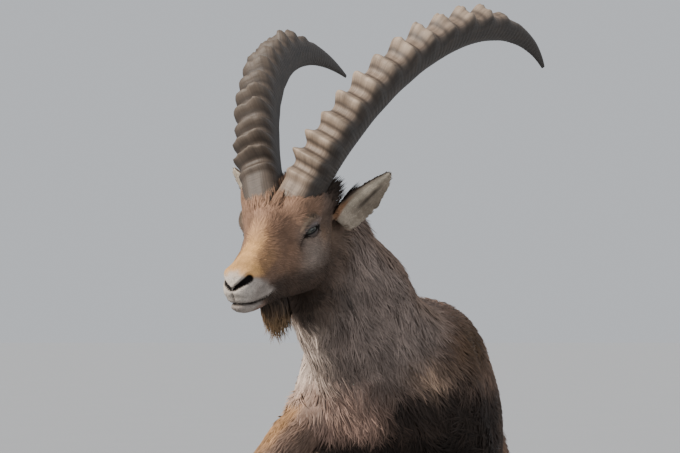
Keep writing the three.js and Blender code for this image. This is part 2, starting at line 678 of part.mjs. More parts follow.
// Cuts through the body: each plane has the head's or the tail's side ahead of its normal
const NECK_CUT = [V(-20, -20, 372), V(-0.34, -0.5, 0.79)];
const NAPE_CUT = [
  HEAD_CUT[0].clone().applyMatrix4(headMatrix),
  HEAD_CUT[1].clone().transformDirection(headMatrix),
];
const FLOOR = [V(0, 0, -GAP / 2), V(0, 0, 1)];
const CHEST_END = [V(0, 170, 0), V(0, 1, 0)];
const BARREL_END = [V(0, 536, 0), V(0, 1, 0)];
const fleshSkin = surface(fleshForm, V(-340, -200, -70), V(340, 930, 540), TRUNK_STEP);
const flesh = solid(fleshSkin).intersect(beyond(...FLOOR));
const neckBlock = solid(surface(fleshForm, V(-330, -330, 250), V(150, 190, 680), NECK_STEP));
const neck = neckBlock.intersect(beyondAll([NECK_CUT, opposite(NAPE_CUT)]));

const armPlanes = (name, s) => [
  [V(FORE[name].top.x - 8 * s, 0, 290), V(s, -0.12, -0.2)],
  [V(0, 100, 0), V(0, -1, 0.1)],
  opposite(NECK_CUT),
  [V(0, 0, FORE[name].top.z + 44), V(0, 0, -1)],
];
const thighPlanes = (name, s) => [
  [V(HIND[name].top.x + 8 * s, 0, 290), V(s, 0, 0.1)],
  [V(0, HIND[name].middle.y - 54, 0), V(0, 1, 0)],
  [V(0, 0, HIND[name].top.z + 64), V(0, 0.2, -1)],
];

// A body cut clear of others; where a sharp edge still touches, also clear of copies a gap to each side
const WAYS = [V(0, 0, 0), V(1, 0, 0), V(-1, 0, 0), V(0, 1, 0), V(0, -1, 0), V(0, 0, 1), V(0, 0, -1)];
function less(body, ...others) {
  return others.reduce((rest, other) => {
    const cut = rest.subtract(grown(other));
    const close = cut.intersect(grown(other, GAP / 3)).volume();
    if (close < 1e-4 && cut.intersect(other).volume() < 1e-5) return cut;
    const steps = WAYS.map((way) => way.clone().multiplyScalar(GAP).toArray());
    const aside = steps.map((step) => solid(geometryFrom(other).translate(...step)));
    return aside.reduce((left, copy) => left.subtract(copy), cut);
  }, body);
}

// One cloven hoof's claw: from the sole up to the hair line, its inner wall flat
function claw(foot, side) {
  const long = foot.toe.clone().sub(foot.hoof).normalize();
  const down = foot.sole.clone().addScaledVector(long, -foot.sole.dot(long)).normalize();
  const across = down.clone().cross(long).multiplyScalar(side);
  const stops = [0, 0.3, 0.7, 1].map((t) => {
    const front = HOOF_LENGTH * mix(1, 0.4, t);
    const rear = HOOF_LENGTH * mix(-0.06, -0.14, t);
    return {
      place: foot.hoof.clone().addScaledVector(across, 13.4)
        .addScaledVector(long, (front + rear) / 2).addScaledVector(down, mix(24, -10, t)),
      across: long,
      up: across,
      outline: (a) => {
        const c = Math.cos(a);
        const s = Math.sin(a);
        const pointed = 1 - (s > 0 ? 0.5 : 0.1) * Math.max(c, 0) ** 2;
        const wide = (s > 0 ? 12.6 : 12.4) * mix(1, 0.84, t) * pointed;
        return [((front - rear) / 2) * c, wide * Math.sign(s) * Math.abs(s) ** (s > 0 ? 0.9 : 0.35)];
      },
    };
  });
  return solid(loft(rings(stops, 12)));
}

// The two small claws behind a pastern
function dewclaw(foot, side) {
  const long = foot.toe.clone().sub(foot.hoof).normalize();
  const down = foot.sole.clone().addScaledVector(long, -foot.sole.dot(long)).normalize();
  const across = down.clone().cross(long).multiplyScalar(side);
  const root = foot.fetlock.clone().addScaledVector(across, 11).addScaledVector(down, 12);
  const way = down.clone().multiplyScalar(0.75).addScaledVector(long, 0.65).addScaledVector(across, 0.3);
  return lock(root, way, V(0, 0, 0), 24, 8, 7, across, 3);
}

// Each leg from the trunk to the ground; every piece is cut clear of the ones before it
for (const [set, joints] of [["fore", FORE], ["hind", HIND]])
  for (const [name, s] of SIDES) {
    const foot = joints[name];
    const fore = set === "fore";
    const upper = largest(flesh.intersect(beyondAll((fore ? armPlanes : thighPlanes)(name, s))));
    const [thick, thin] = fore ? [44, 27] : [50, 27];
    const swell = foot.middle.clone().lerp(foot.wrist, 0.34);
    const shin = blend(20,
      limb(foot.middle, thick - 2, swell, thick - 6),
      limb(swell, thick - 8, foot.wrist, thin),
      ball(foot.wrist, fore ? 33 : 30),
    );
    const heel = foot.wrist.clone().add(V(0, fore ? 6 : 24, 4));
    const cannon = blend(12,
      limb(foot.wrist, 24, foot.fetlock, 18.5),
      limb(heel, 17, foot.wrist, 20),
      ball(foot.fetlock, 24),
    );
    const pastern = blend(10, limb(foot.fetlock, 21, foot.hoof, 20), ball(foot.hoof, 21));
    const forearm = less(sleeve(shin, foot.middle, foot.wrist, thick, fore ? 33 : 30, 12, 8), flesh);
    const pipe = less(sleeve(cannon, heel, foot.fetlock, 17, 24, 10, 8), flesh, forearm);
    const claws = [1, -1].map((side) => less(claw(foot, side).intersect(beyond(...FLOOR)), flesh));
    const down = foot.hoof.clone().sub(foot.fetlock).normalize();
    const pasternPlane = [foot.fetlock.clone().addScaledVector(down, 13), down];
    const pasternSkin = sleeve(pastern, foot.fetlock, foot.hoof, 21, 21, 10, 4);
    const ankle = less(pasternSkin.intersect(beyond(...pasternPlane)), flesh, pipe, forearm, ...claws);
    const spurs = [1, -1].map((side) => less(dewclaw(foot, side), pipe, ankle, ...claws));
    node(`${fore ? "upper_arm" : "thigh"}_${name}`, upper, "coat");
    node(`${fore ? "forearm" : "shank"}_${name}`, forearm, "dark");
    node(`${set}_${name}_cannon`, pipe, "dark");
    node(`${set}_${name}_pastern`, ankle, "dark");
    ["outer", "inner"].forEach((place, i) => {
      node(`${set}_${name}_hoof_${place}`, claws[i], "hoof");
      node(`${set}_${name}_dewclaw_${place}`, spurs[i].intersect(beyond(...FLOOR)), "hoof");
    });
  }

const without = (body, planesOf) =>
  SIDES.reduce((rest, [name, s]) => rest.subtract(beyondAll(planesOf(name, s), -GAP / 2)), body);
const rump = largest(without(flesh.intersect(beyond(...BARREL_END)), thighPlanes));
const barrel = flesh.intersect(beyondAll([CHEST_END, opposite(BARREL_END)]));
const chest = flesh.intersect(beyondAll([opposite(NECK_CUT), opposite(CHEST_END)]));
node("chest", without(chest, armPlanes), "coat");
node("barrel", without(barrel, thighPlanes), "coat");
node("rump", rump, "coat");
const tail = blend(20,
  limb(V(14, 838, 352), 26, V(18, 884, 322), 24),
  limb(V(18, 884, 322), 24, V(24, 908, 262), 12),
);
node("tail", less(sleeve(tail, V(14, 838, 352), V(26, 912, 262), 20, 8, 8, 8), rump), "dark");
node("neck", less(neck, bodies.ear_left, bodies.ear_right), "coat");

const box = new THREE.Box3().setFromObject(ibex);
ibex.position.set(-(box.min.x + box.max.x) / 2, -(box.min.y + box.max.y) / 2, 0);
export default ibex;
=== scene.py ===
import math
from contextlib import contextmanager

import bmesh
import bpy
import numpy as np
from mathutils import Matrix, Quaternion, Vector
from mathutils.bvhtree import BVHTree


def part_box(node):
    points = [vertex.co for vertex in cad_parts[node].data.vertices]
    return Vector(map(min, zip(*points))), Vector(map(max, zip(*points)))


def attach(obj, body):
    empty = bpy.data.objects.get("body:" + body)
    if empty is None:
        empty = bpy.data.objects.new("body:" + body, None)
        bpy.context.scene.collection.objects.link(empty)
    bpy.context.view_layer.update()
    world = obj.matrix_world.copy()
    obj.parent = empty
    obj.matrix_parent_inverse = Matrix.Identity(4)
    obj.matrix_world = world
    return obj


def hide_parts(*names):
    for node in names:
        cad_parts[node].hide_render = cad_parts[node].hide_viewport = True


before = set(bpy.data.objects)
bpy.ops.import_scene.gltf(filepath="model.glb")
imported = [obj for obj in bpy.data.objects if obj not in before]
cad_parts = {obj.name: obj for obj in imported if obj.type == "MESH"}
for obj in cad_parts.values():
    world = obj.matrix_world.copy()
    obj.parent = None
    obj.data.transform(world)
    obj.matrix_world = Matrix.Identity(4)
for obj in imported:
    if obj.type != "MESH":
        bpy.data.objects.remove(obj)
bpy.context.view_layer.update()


# Studio: one wide grey floor that runs into a sky of the same tone, and a low sun from the picture's
# upper left. The camera stands five metres off, level and low, and looks at the animal's face.
scene = bpy.context.scene
EYE_AT = {side: sum(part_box(f"eye_{side}"), Vector()) / 2 for side in ("left", "right")}

camera = bpy.data.objects.new("camera", bpy.data.cameras.new("camera"))
camera.location = EYE_AT["left"] + Vector((0.0518, -4.9784, -0.1427))
camera.rotation_euler = (math.pi / 2, 0, 0)
camera.data.sensor_width = 36
camera.data.lens = 170.7
camera.data.shift_y = 0.142
camera.data.clip_end = 200
scene.collection.objects.link(camera)
scene.camera = camera


def shine(name, strength, toward, softness, color):
    """A far light whose rays run along `toward`."""
    sun = bpy.data.objects.new(name, bpy.data.lights.new(name, "SUN"))
    sun.data.energy = strength
    sun.data.angle = math.radians(softness)
    sun.data.color = color
    sun.rotation_euler = Vector(toward).to_track_quat("-Z", "Y").to_euler()
    scene.collection.objects.link(sun)


shine("key_light", 5.8, (0.78, 0.47, -0.60), 4, (1.0, 0.95, 0.88))
shine("fill_light", 0.5, (-0.7, 0.5, -0.35), 40, (0.86, 0.92, 1.0))
sky = bpy.data.worlds.new("sky")
sky.use_nodes = True
sky.node_tree.nodes["Background"].inputs["Color"].default_value = (0.50, 0.52, 0.55, 1)
sky.node_tree.nodes["Background"].inputs["Strength"].default_value = 1.15
scene.world = sky


class Wire:
    """A socket in a material, with the operators that the finishes below use."""

    def __init__(self, tree, socket):
        self.tree, self.socket = tree, socket

    def math(self, operation, a, b):
        return Finish.node(self.tree, "ShaderNodeMath", {"operation": operation}, [a, b])

    def __add__(self, other):
        return self.math("ADD", self, other)

    def __mul__(self, other):
        return self.math("MULTIPLY", self, other)

    def __truediv__(self, other):
        return self.math("DIVIDE", self, other)

    def __pow__(self, other):
        return self.math("POWER", self, other)

    __radd__, __rmul__ = __add__, __mul__

    def above(self, low, high):
        """0 below `low`, 1 above `high`, smooth between."""
        values = {"Value": self, "From Min": low, "From Max": high}
        return Finish.node(self.tree, "ShaderNodeMapRange", {"interpolation_type": "SMOOTHSTEP"}, values)


class Finish:
    """A material with one Principled shader, whose nodes are added by type, settings and inputs."""

    def __init__(self, name, **constants):
        self.material = bpy.data.materials.new(name)
        self.material.use_nodes = True
        self.tree = self.material.node_tree
        self.shader = self.tree.nodes["Principled BSDF"]
        for socket, value in constants.items():
            self.shader.inputs[socket.replace("_", " ")].default_value = value

    @staticmethod
    def node(tree, kind, settings, inputs, output=0):
        made = tree.nodes.new(kind)
        for key, value in settings.items():
            setattr(made, key, value)
        pairs = inputs.items() if isinstance(inputs, dict) else enumerate(inputs)
        for key, value in pairs:
            if isinstance(value, Wire):
                tree.links.new(value.socket, made.inputs[key])
            else:
                made.inputs[key].default_value = value
        return Wire(tree, made.outputs[output])

    def add(self, kind, settings=None, inputs=(), output=0):
        return self.node(self.tree, kind, settings or {}, inputs, output)

    def place(self):
        return self.add("ShaderNodeTexCoord", output="Object")

    def attribute(self, name, output="Color"):
        return self.add("ShaderNodeAttribute", {"attribute_name": name}, output=output)

    def stretched(self, place, scale):
        return self.add("ShaderNodeMapping", {}, {"Vector": place, "Scale": scale})

    def noise(self, place, scale, detail=2.0, roughness=0.5):
        inputs = {"Vector": place, "Scale": scale, "Detail": detail, "Roughness": roughness}
        return self.add("ShaderNodeTexNoise", {}, inputs, "Fac")

    def mixed(self, share, a, b):
        a, b = ((*c, 1) if isinstance(c, tuple) else c for c in (a, b))
        return self.add("ShaderNodeMix", {"data_type": "RGBA"}, {0: share, 6: a, 7: b}, 2)

    def shaded(self, color, factor):
        """A colour made lighter or darker by a number that varies over the surface."""
        return self.add("ShaderNodeVectorMath", {"operation": "SCALE"}, {"Vector": color, "Scale": factor})

    def feed(self, socket, wire):
        self.tree.links.new(wire.socket, self.shader.inputs[socket])

    def bump(self, height, distance, strength=1.0):
        inputs = {"Height": height, "Distance": distance, "Strength": strength}
        self.feed("Normal", self.add("ShaderNodeBump", {}, inputs, "Normal"))


def paint(code):
    """A screen colour such as "a68771" as the linear colour that shaders take."""
    values = [int(code[i:i + 2], 16) / 255 for i in (0, 2, 4)]
    return tuple(v / 12.92 if v <= 0.04045 else ((v + 0.055) / 1.055) ** 2.4 for v in values)


floor_finish = Finish("floor_finish", Roughness=0.9)
floor_grain = floor_finish.noise(floor_finish.place(), 3.0, 4.0)
floor_finish.feed("Base Color", floor_finish.mixed(floor_grain, paint("9b9da0"), paint("9fa1a4")))
floor_mesh = bpy.data.meshes.new("floor")
FLOOR = 60  # metres from the animal to the floor's edge
floor_corners = [(x * FLOOR, y * FLOOR, 0) for x, y in ((-1, -1), (1, -1), (1, 1), (-1, 1))]
floor_mesh.from_pydata(floor_corners, [], [(0, 1, 2, 3)])
floor_mesh.materials.append(floor_finish.material)
floor = bpy.data.objects.new("floor", floor_mesh)
scene.collection.objects.link(floor)


# Skin of the head: one surface over skull, jaw and ears, where the face's folds, lips and nostrils
# are. Its frame has x to the nose, y to the left and z up, and starts midway between the eyes.
TURN = math.radians(62)
DROP = math.radians(10.6)
TILT = math.radians(-2.8)
ahead = Vector((-math.cos(TURN) * math.cos(DROP), -math.sin(TURN) * math.cos(DROP), -math.sin(DROP)))
leftward = Vector((math.sin(TURN), -math.cos(TURN), 0))
leftward.rotate(Quaternion(ahead, TILT))
HEAD_AXES = np.array([ahead, leftward, ahead.cross(leftward)])
HEAD_AT = np.array((EYE_AT["left"] + EYE_AT["right"]) / 2) - 0.001 * HEAD_AXES[2]
SEAM_AT = np.array((-0.096, 0, -0.02)) @ HEAD_AXES + HEAD_AT
SEAM_WAY = np.array((0.86, 0, 0.51)) @ HEAD_AXES

LEGS = [f"{kind}_{side}" for kind in ("upper_arm", "forearm", "thigh", "shank")
        for side in ("left", "right")]
FEET = [f"{leg}_{part}" for leg in ("fore_left", "fore_right", "hind_left", "hind_right")
        for part in ("cannon", "pastern")]
FLESH = ["head", "lower_jaw", "ear_left", "ear_right", "neck", "chest", "barrel", "rump", "tail",
         *LEGS, *FEET]
SPREAD = 0.0006  # closes the thin gaps between the solids before they are run together


@contextmanager
def opened(mesh, *sources):
    """A mesh, or else the sources given for it, to be edited and then written to the mesh."""
    form = bmesh.new()
    for source in sources or (mesh,):
        form.from_mesh(source)
    yield form
    form.to_mesh(mesh)
    form.free()


def joined(name, meshes):
    """One mesh of several."""
    mesh = bpy.data.meshes.new(name)
    with opened(mesh, *meshes):
        return mesh


def evaluated(body):
    """The mesh that a body's modifiers make."""
    return bpy.data.meshes.new_from_object(body.evaluated_get(bpy.context.evaluated_depsgraph_get()))


def soft_solid(name, nodes, voxel):
    """The named solids run together into one closed mesh of even squares."""
    parts = []
    for node in nodes:
        parts.append(bpy.data.meshes.new(node))
        with opened(parts[-1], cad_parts[node].data) as one:
            bmesh.ops.remove_doubles(one, verts=one.verts, dist=1e-6)
            one.normal_update()
            for vertex, way in [(v, v.normal.copy()) for v in one.verts]:
                vertex.co += way * SPREAD
    body = bpy.data.objects.new(name, joined(name, parts))
    scene.collection.objects.link(body)
    remesh = body.modifiers.new("even", "REMESH")
    remesh.mode, remesh.voxel_size = "VOXEL", voxel
    even = evaluated(body)
    bpy.data.objects.remove(body)
    return even


def close_holes(form):
    bmesh.ops.holes_fill(form, edges=[e for e in form.edges if e.is_boundary], sides=0)
    bmesh.ops.triangulate(form, faces=[f for f in form.faces if len(f.verts) > 4])


def cut_behind_seam(mesh, distance):
    """Keeps what lies ahead of a plane that distance behind the seam, and closes the cut."""
    with opened(mesh) as form:
        everything = [*form.verts, *form.edges, *form.faces]
        bmesh.ops.bisect_plane(form, geom=everything, plane_co=SEAM_AT - distance * SEAM_WAY,
                               plane_no=SEAM_WAY, clear_inner=True)
        close_holes(form)


def read(items, key, wide, kind=np.float32):
    """One entry of all of a mesh's vertices, edges, corners or triangles, `wide` numbers to each."""
    found = np.empty(wide * len(items), kind)
    items.foreach_get(key, found)
    return found.reshape(-1, wide)


def write(items, key, values, kind=np.float32):
    """The other way round: numbers from an array into that entry of all of them."""
    items.foreach_set(key, np.asarray(values, kind).ravel())


def places(mesh):
    return read(mesh.vertices, "co", 3).astype(float)


def moved(mesh, points):
    """Puts a mesh's vertices at those points."""
    write(mesh.vertices, "co", points)
    mesh.update()


def outward(mesh):
    return read(mesh.vertices, "normal", 3).astype(float)


def eased(mesh, values, turns, share=0.6, back=0.0):
    """Values at the vertices, each drawn towards the mean of its neighbours, `turns` times, and by
    `back` away from it in between, which keeps the mesh from shrinking."""
    pairs = read(mesh.edges, "vertices", 2, np.int32)
    count = np.maximum(np.bincount(pairs.ravel(), minlength=len(mesh.vertices)), 1)
    columns = [np.array(c, float) for c in np.atleast_2d(values.T)]
    for part in ((share, -back) if back else (share,)) * turns:
        for i, column in enumerate(columns):
            near = (np.bincount(pairs[:, 0], column[pairs[:, 1]], len(column))
                    + np.bincount(pairs[:, 1], column[pairs[:, 0]], len(column))) / count
            columns[i] = column + part * (near - column)
    result = np.array(columns).T
    return result[:, 0] if values.ndim == 1 else result


# Which solid each point of the skin lies on, from one search tree over all of them
solid_points, solid_faces, solid_names = [], [], []
for node in FLESH:
    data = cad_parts[node].data
    data.calc_loop_triangles()
    start = sum(len(p) for p in solid_points)
    solid_points.append(places(data))
    solid_faces += [tuple(start + i for i in t.vertices) for t in data.loop_triangles]
    solid_names += [FLESH.index(node)] * len(data.loop_triangles)
solid_tree = BVHTree.FromPolygons(np.concatenate(solid_points).tolist(), solid_faces)


def node_under(points):
    """The number of the nearest solid of flesh at each point."""
    return np.array([solid_names[solid_tree.find_nearest(p)[2]] for p in points.tolist()])


def head_frame(points):
    """Places in the world as places in the head's frame."""
    return (points - HEAD_AT) @ HEAD_AXES.T


def step(values, low, high):
    """0 below `low`, 1 above `high`, smooth between."""
    t = np.clip((values - low) / (high - low), 0, 1)
    return t * t * (3 - 2 * t)


def bell(distance, width):
    """1 at no distance, falling off smoothly to about a third at `width`."""
    return np.exp(-((distance / width) ** 2))


def to_segment(points, a, b):
    """Distances of points to the line from a to b, and how far along it each is, from 0 to 1."""
    a, b = np.array(a, float), np.array(b, float)
    t = np.clip(((points - a) @ (b - a)) / ((b - a) @ (b - a)), 0, 1)
    return np.linalg.norm(points - a - t[:, None] * (b - a), axis=1), t


HEAD_VOXEL = 0.0022
HEAD_END = 0.045  # how far behind the seam the head's skin ends
SPARE = 0.030  # what is kept behind that until the skin is smooth
EYE_PLACE = (0, 0.0465, 0.001)  # the left eye in the head's frame
EYE_RADIUS = 0.0165
EYE_HALF_LENGTH = 0.0160
EYE_UP = 0.0043
EYE_DOWN = 0.0036
HEAD_DEPTH = 0.0018  # from the hair tips to the skin
EAR_DEPTH = 0.0002
NECK_DEPTH = 0.006
# The line of the lips as x and z, from its corner to its front, and the left nostril's two ends
MOUTH = [(0.078, -0.0800), (0.088, -0.0845), (0.100, -0.0880), (0.122, -0.0915), (0.166, -0.0885)]
NOSTRIL = [(0.1370, 0.0190, -0.0515), (0.1590, 0.0040, -0.0650)]


def behind_seam(points):
    """How far points lie behind the plane between head and neck."""
    return (SEAM_AT - points) @ SEAM_WAY


def collar(points, cheek, neck):
    """A value that runs from the cheeks' to the neck's over a hand's breadth behind the seam."""
    return cheek + (neck - cheek) * step(behind_seam(points), -0.025, 0.045)


def mirrored(way, side):
    """A place or way on the left half of the head, or its mirror image on the right one."""
    return np.array(way) * (1, side, 1)


def to_nostril(face, side):
    """Distance to a nostril's slit, seen square on, as a share of its half width. The slit is widest
    at its upper end and lies on the front half of the muzzle."""
    facing = mirrored((0.8607, 0.4860, 0.1519), side)
    flat = face - (face @ facing)[:, None] * facing
    ends = [mirrored(end, side) for end in NOSTRIL]
    distance, t = to_segment(flat, *(end - (end @ facing) * facing for end in ends))
    behind = step(-face[:, 0], -0.128, -0.118) + step(-side * face[:, 1], -0.001, 0.003)
    return (distance + 0.02 * behind) / (0.0052 - 0.0024 * t)


def eye_axes(side):
    """The way an eye looks, its long axis towards the nose, and its up, in the head's frame."""
    out = mirrored((0.36, 0.92, 0.14), side)
    out /= np.linalg.norm(out)
    along = mirrored((0.93, -0.2, -0.3), side)
    along -= out * (along @ out)
    along /= np.linalg.norm(along)
    up = np.cross(out, along)
    return out, along, up if up[2] > 0 else -up


def about_eye(face, side):
    """The ways from an eye's middle to points of the head, and their parts along, up and out."""
    out, along, up = eye_axes(side)
    eye = face - mirrored(EYE_PLACE, side)
    return eye, eye @ along, eye @ up, eye @ out


def lid_line(share, upper):
    """Height of a lid's edge above the eye's long axis, at `share` of the half length."""
    bow = (1 - np.abs(share) ** 2.2) * (1 + 0.25 * share)
    return (EYE_UP if upper else -EYE_DOWN) * bow


head_mesh = soft_solid("head_skin", ["head", "lower_jaw", "ear_left", "ear_right", "neck"], HEAD_VOXEL)
cut_behind_seam(head_mesh, HEAD_END + SPARE)
head_label = node_under(places(head_mesh))
is_ear = eased(head_mesh, np.isin(head_label, [FLESH.index("ear_left"), FLESH.index("ear_right")]) * 1.0, 4)
still = places(head_mesh)
soft = eased(head_mesh, still, 22, 0.6)
slack = eased(head_mesh, soft, 150, 0.6)
soft += (slack - soft) * step(behind_seam(still), -0.035, 0.0)[:, None]
ear_soft = eased(head_mesh, still, 6, 0.5, 0.52)
points = soft * (1 - is_ear[:, None]) + ear_soft * is_ear[:, None]
moved(head_mesh, points)
depth = collar(points, HEAD_DEPTH, NECK_DEPTH) * (1 - is_ear) + EAR_DEPTH * is_ear
points -= outward(head_mesh) * depth[:, None]
moved(head_mesh, points)
face = head_frame(points)
push = np.zeros(len(points))
hollow = np.zeros(points.shape)
x, y, z = face.T
near_mouth = step(x, 0.074, 0.086)
lip_z = np.interp(x, *zip(*MOUTH))
push += 0.0008 * near_mouth * bell(z + 0.0805, 0.0035)
push -= 0.0040 * near_mouth * bell(z - lip_z, 0.0019)
push += 0.0014 * near_mouth * (bell(z - lip_z - 0.0065, 0.0035) + 0.7 * bell(z - lip_z + 0.006, 0.003))
push -= 0.0018 * bell(y, 0.0020) * bell(z + 0.078, 0.010) * step(x, 0.14, 0.15)
for side in (1, -1):
    slit = to_nostril(face, side)
    hollow += (bell(slit, 1.0) * (x > 0.11))[:, None] * mirrored((-0.0080, -0.0050, 0.0006), side)
    push += 0.0010 * bell(slit - 2.0, 0.6) * step(z, -0.064, -0.056)
    eye, a, b, c = about_eye(face, side)
    reach = np.linalg.norm(eye, axis=1)
    share, bow = a / EYE_HALF_LENGTH, 20 * a * a
    ahead_of_eye = step(c, 0.004, 0.008) * (reach < 0.05)
    brow = 0.0040 * bell(b - 0.0150 + bow, 0.0045) * step(-np.abs(share), -1.7, -0.9)
    crease = 0.0022 * bell(b - 0.0090 + bow, 0.0017) * step(-np.abs(share), -1.5, -0.9)
    bag = 0.0018 * bell(b + 0.0090 - bow, 0.0024) * step(-np.abs(share), -1.5, -0.8)
    tear = 0.002 * bell(to_segment(np.stack((a, b), 1), (0.015, -0.001), (0.032, -0.009))[0], 0.0022)
    push += ahead_of_eye * (brow - crease + bag - tear)
    inside = (np.abs(share) < 0.94) & (c > 0)
    inside &= (b < lid_line(share, True) - 0.0010) & (b > lid_line(share, False) + 0.0015)
    wanted = np.where(inside, EYE_RADIUS - 0.0010, np.maximum(reach, EYE_RADIUS + 0.0012))
    close = (c > 0.003) & (reach < 0.030)
    points += np.where(close, wanted - reach, 0)[:, None] * ((eye / reach[:, None]) @ HEAD_AXES)
points += outward(head_mesh) * push[:, None] + hollow @ HEAD_AXES
moved(head_mesh, points)
cut_behind_seam(head_mesh, HEAD_END)


# Skin of the body: neck, trunk, legs and tail in one surface, drawn in under the long coat. It runs
# on inside the head's skin behind the cheeks, under the hair there.
BODY_VOXEL = 0.0080
SKIN_LOW = 0.0008  # the skin keeps this far off the ground
DEPTH = {"head": HEAD_DEPTH, "lower_jaw": HEAD_DEPTH, "ear": 0.001, "neck": NECK_DEPTH, "chest": 0.0065,
         "barrel": 0.0065, "rump": 0.0065, "upper_arm": 0.006, "thigh": 0.0065, "forearm": 0.0042,
         "shank": 0.0045, "tail": 0.006, "cannon": 0.003, "pastern": 0.003}


def by_node(table, labels):
    """Values from a table of solids' names, or of the first or last part of them, at each label."""
    found = [next(table[key] for key in table if node.startswith(key) or node.endswith(key))
             for node in FLESH]
    return np.array(found)[labels]


def over_body(table, labels, points):
    """The same, with the neck's values run together with the head's behind the cheeks."""
    neck = labelled(labels, "neck")
    return np.where(neck, collar(points, table["head"], table["neck"]), by_node(table, labels))


def labelled(labels, *names):
    """Whether each label is that of a solid whose name begins with one of those."""
    return np.isin(labels, [i for i, n in enumerate(FLESH) if n.startswith(names)])


body_mesh = soft_solid("body_skin", [n for n in FLESH if not n.startswith("ear")], BODY_VOXEL)
body_label = node_under(places(body_mesh))
big = eased(body_mesh, np.isin(body_label, [FLESH.index(n) for n in FLESH if n not in FEET]) * 1.0, 6)
still = places(body_mesh)
smooth_body = eased(body_mesh, still, 40, 0.62, 0.6)
smooth_feet = eased(body_mesh, still, 5, 0.5, 0.52)
points = smooth_feet + (smooth_body - smooth_feet) * big[:, None]
points[:, 2] = np.maximum(points[:, 2], SKIN_LOW)
moved(body_mesh, points)
depth = eased(body_mesh, over_body(DEPTH, body_label, points), 12)
points -= outward(body_mesh) * depth[:, None]
points[:, 2] = np.maximum(points[:, 2], SKIN_LOW)
moved(body_mesh, points)
with opened(body_mesh) as trimmed:
    trimmed.verts.ensure_lookup_table()
    in_head = (behind_seam(points) < 0.008) & labelled(body_label, "head", "lower_jaw", "neck")
    bmesh.ops.delete(trimmed, geom=[trimmed.verts[i] for i in np.flatnonzero(in_head)], context="VERTS")
    close_holes(trimmed)

# One skin: both halves as a single mesh that stands for every solid of flesh. It is painted with the
# animal's markings and, in places, with painted light and shade, point by point, and the hairs above it
# take their colours from the same paints.
skin_mesh = joined("skin", [head_mesh, body_mesh])
HEAD_COUNT = len(head_mesh.vertices)
skin_points = places(skin_mesh)
skin_ways = outward(skin_mesh)
skin_label = np.concatenate((node_under(places(head_mesh)), node_under(places(body_mesh))))


def ripples(points, size, seed):
    """Smooth unevenness of about that size over the body, from -1 to 1."""
    rng = np.random.default_rng(seed)
    ways = rng.normal(size=(10, 3))
    ways *= (2 * math.pi / size * rng.uniform(0.5, 1.5, 10) / np.linalg.norm(ways, axis=1))[:, None]
    return np.clip(np.sin(points @ ways.T + rng.uniform(0, 6.3, 10)).sum(1) / 3.2, -1, 1)


def over(*names):
    """How far each point of the skin lies over the named solids, with soft borders."""
    return eased(skin_mesh, labelled(skin_label, *names) * 1.0, 14)


def beside_arm(points):
    """How far points lie to the left of the golden front of the reaching foreleg."""
    return points[:, 0] + 0.087 + 0.84 * (0.288 - points[:, 2])


x, y, z = skin_points.T
wave = ripples(skin_points, 0.05, 3)
fine = ripples(skin_points, 0.016, 4)
neck = over("neck")
breast = over("chest", "upper_arm")
skin_color = np.tile(paint("6a564a"), (len(skin_points), 1))


def lay(code, share):
    """Paints over the coat, as far as `share` says at each point."""
    share = np.clip(share, 0, 1)[:, None]
    skin_color[:] = skin_color * (1 - share) + np.array(paint(code)) * share


lay("776961", neck)
# Painted shade: a dark patch on the side of the neck just behind the jaw.
lay("332b26", neck * bell(x + 0.056, 0.04) * bell(z - 0.455, 0.045) * 0.8)
lay("6e5746", over("barrel", "rump", "thigh") * (0.5 + 0.3 * wave))
lay("433428", step(-z, -0.22, -0.08) * (1 - neck))
lay("4a382c", bell(np.abs(x - 0.03), 0.035) * step(z, 0.36, 0.41) * step(y, -0.28, -0.2))
# Painted shade: the neck darker and browner where it faces right, back and up, away from the key light.
lay("6f5540", neck * step(skin_ways @ np.array((0.75, 0.3, 0.5)), 0.55, 0.95) * 0.5)
# Painted light: the neck paler on its left part, towards the key light.
lay("b9a799", neck * step(-x, 0.04, 0.10) * (0.85 + 0.15 * wave))
front = np.maximum(neck, breast) * step(-y, 0.18, 0.30)
# Painted shade: the front of neck and breast darker on its right part, away from the key light.
lay("4a3e37", front * step(x, -0.04, 0.06) * step(-z, -0.40, -0.28) * (0.6 + 0.35 * wave))
# The pale fan of chest hair, laid only on its left part, towards the key light: the hair's own colour with
# painted light.
fan = front * step(-x, -0.08, 0.02) * step(z, 0.200, 0.228) * step(-z, -0.34, -0.28)
lay("92776a", fan * (0.85 + 0.3 * fine))
lay("8f7363", front * bell(x - 0.07, 0.032) * bell(z - 0.240, 0.026) * (0.6 + 0.6 * fine))
# Painted shade: the lower right of breast, shoulder and flank near black, the shoulder darkened round it,
# and a dark band low on the chest under the brisket that also stands for the dark folded foreleg.
shade = np.maximum(np.maximum(neck, breast), over("barrel") * step(-y, -0.22, 0.12))
lay("231c18", shade * step(x, -0.01, 0.05) * step(-z, -0.325, -0.285) * 0.92)
lay("231c18", front * step(x, -0.13, -0.10) * step(-z, -0.236, -0.216) * 0.92)
lay("332a25", shade * bell(x - 0.105, 0.075) * bell(z - 0.325, 0.045) * 0.6)
# Painted light: a sunlit patch on the shoulder, within the painted shade.
lay("ab8f79", np.maximum(neck, breast) * bell(x - 0.094, 0.027) * bell(z - 0.326, 0.018)
    * (0.9 + 0.5 * fine))
lay("43311f", breast * bell(x - 0.17, 0.05) * bell(z - 0.38, 0.045))
lay("3a2d25", step(z, 0.30, 0.40) * step(y, 0.06, 0.16) * 0.8)
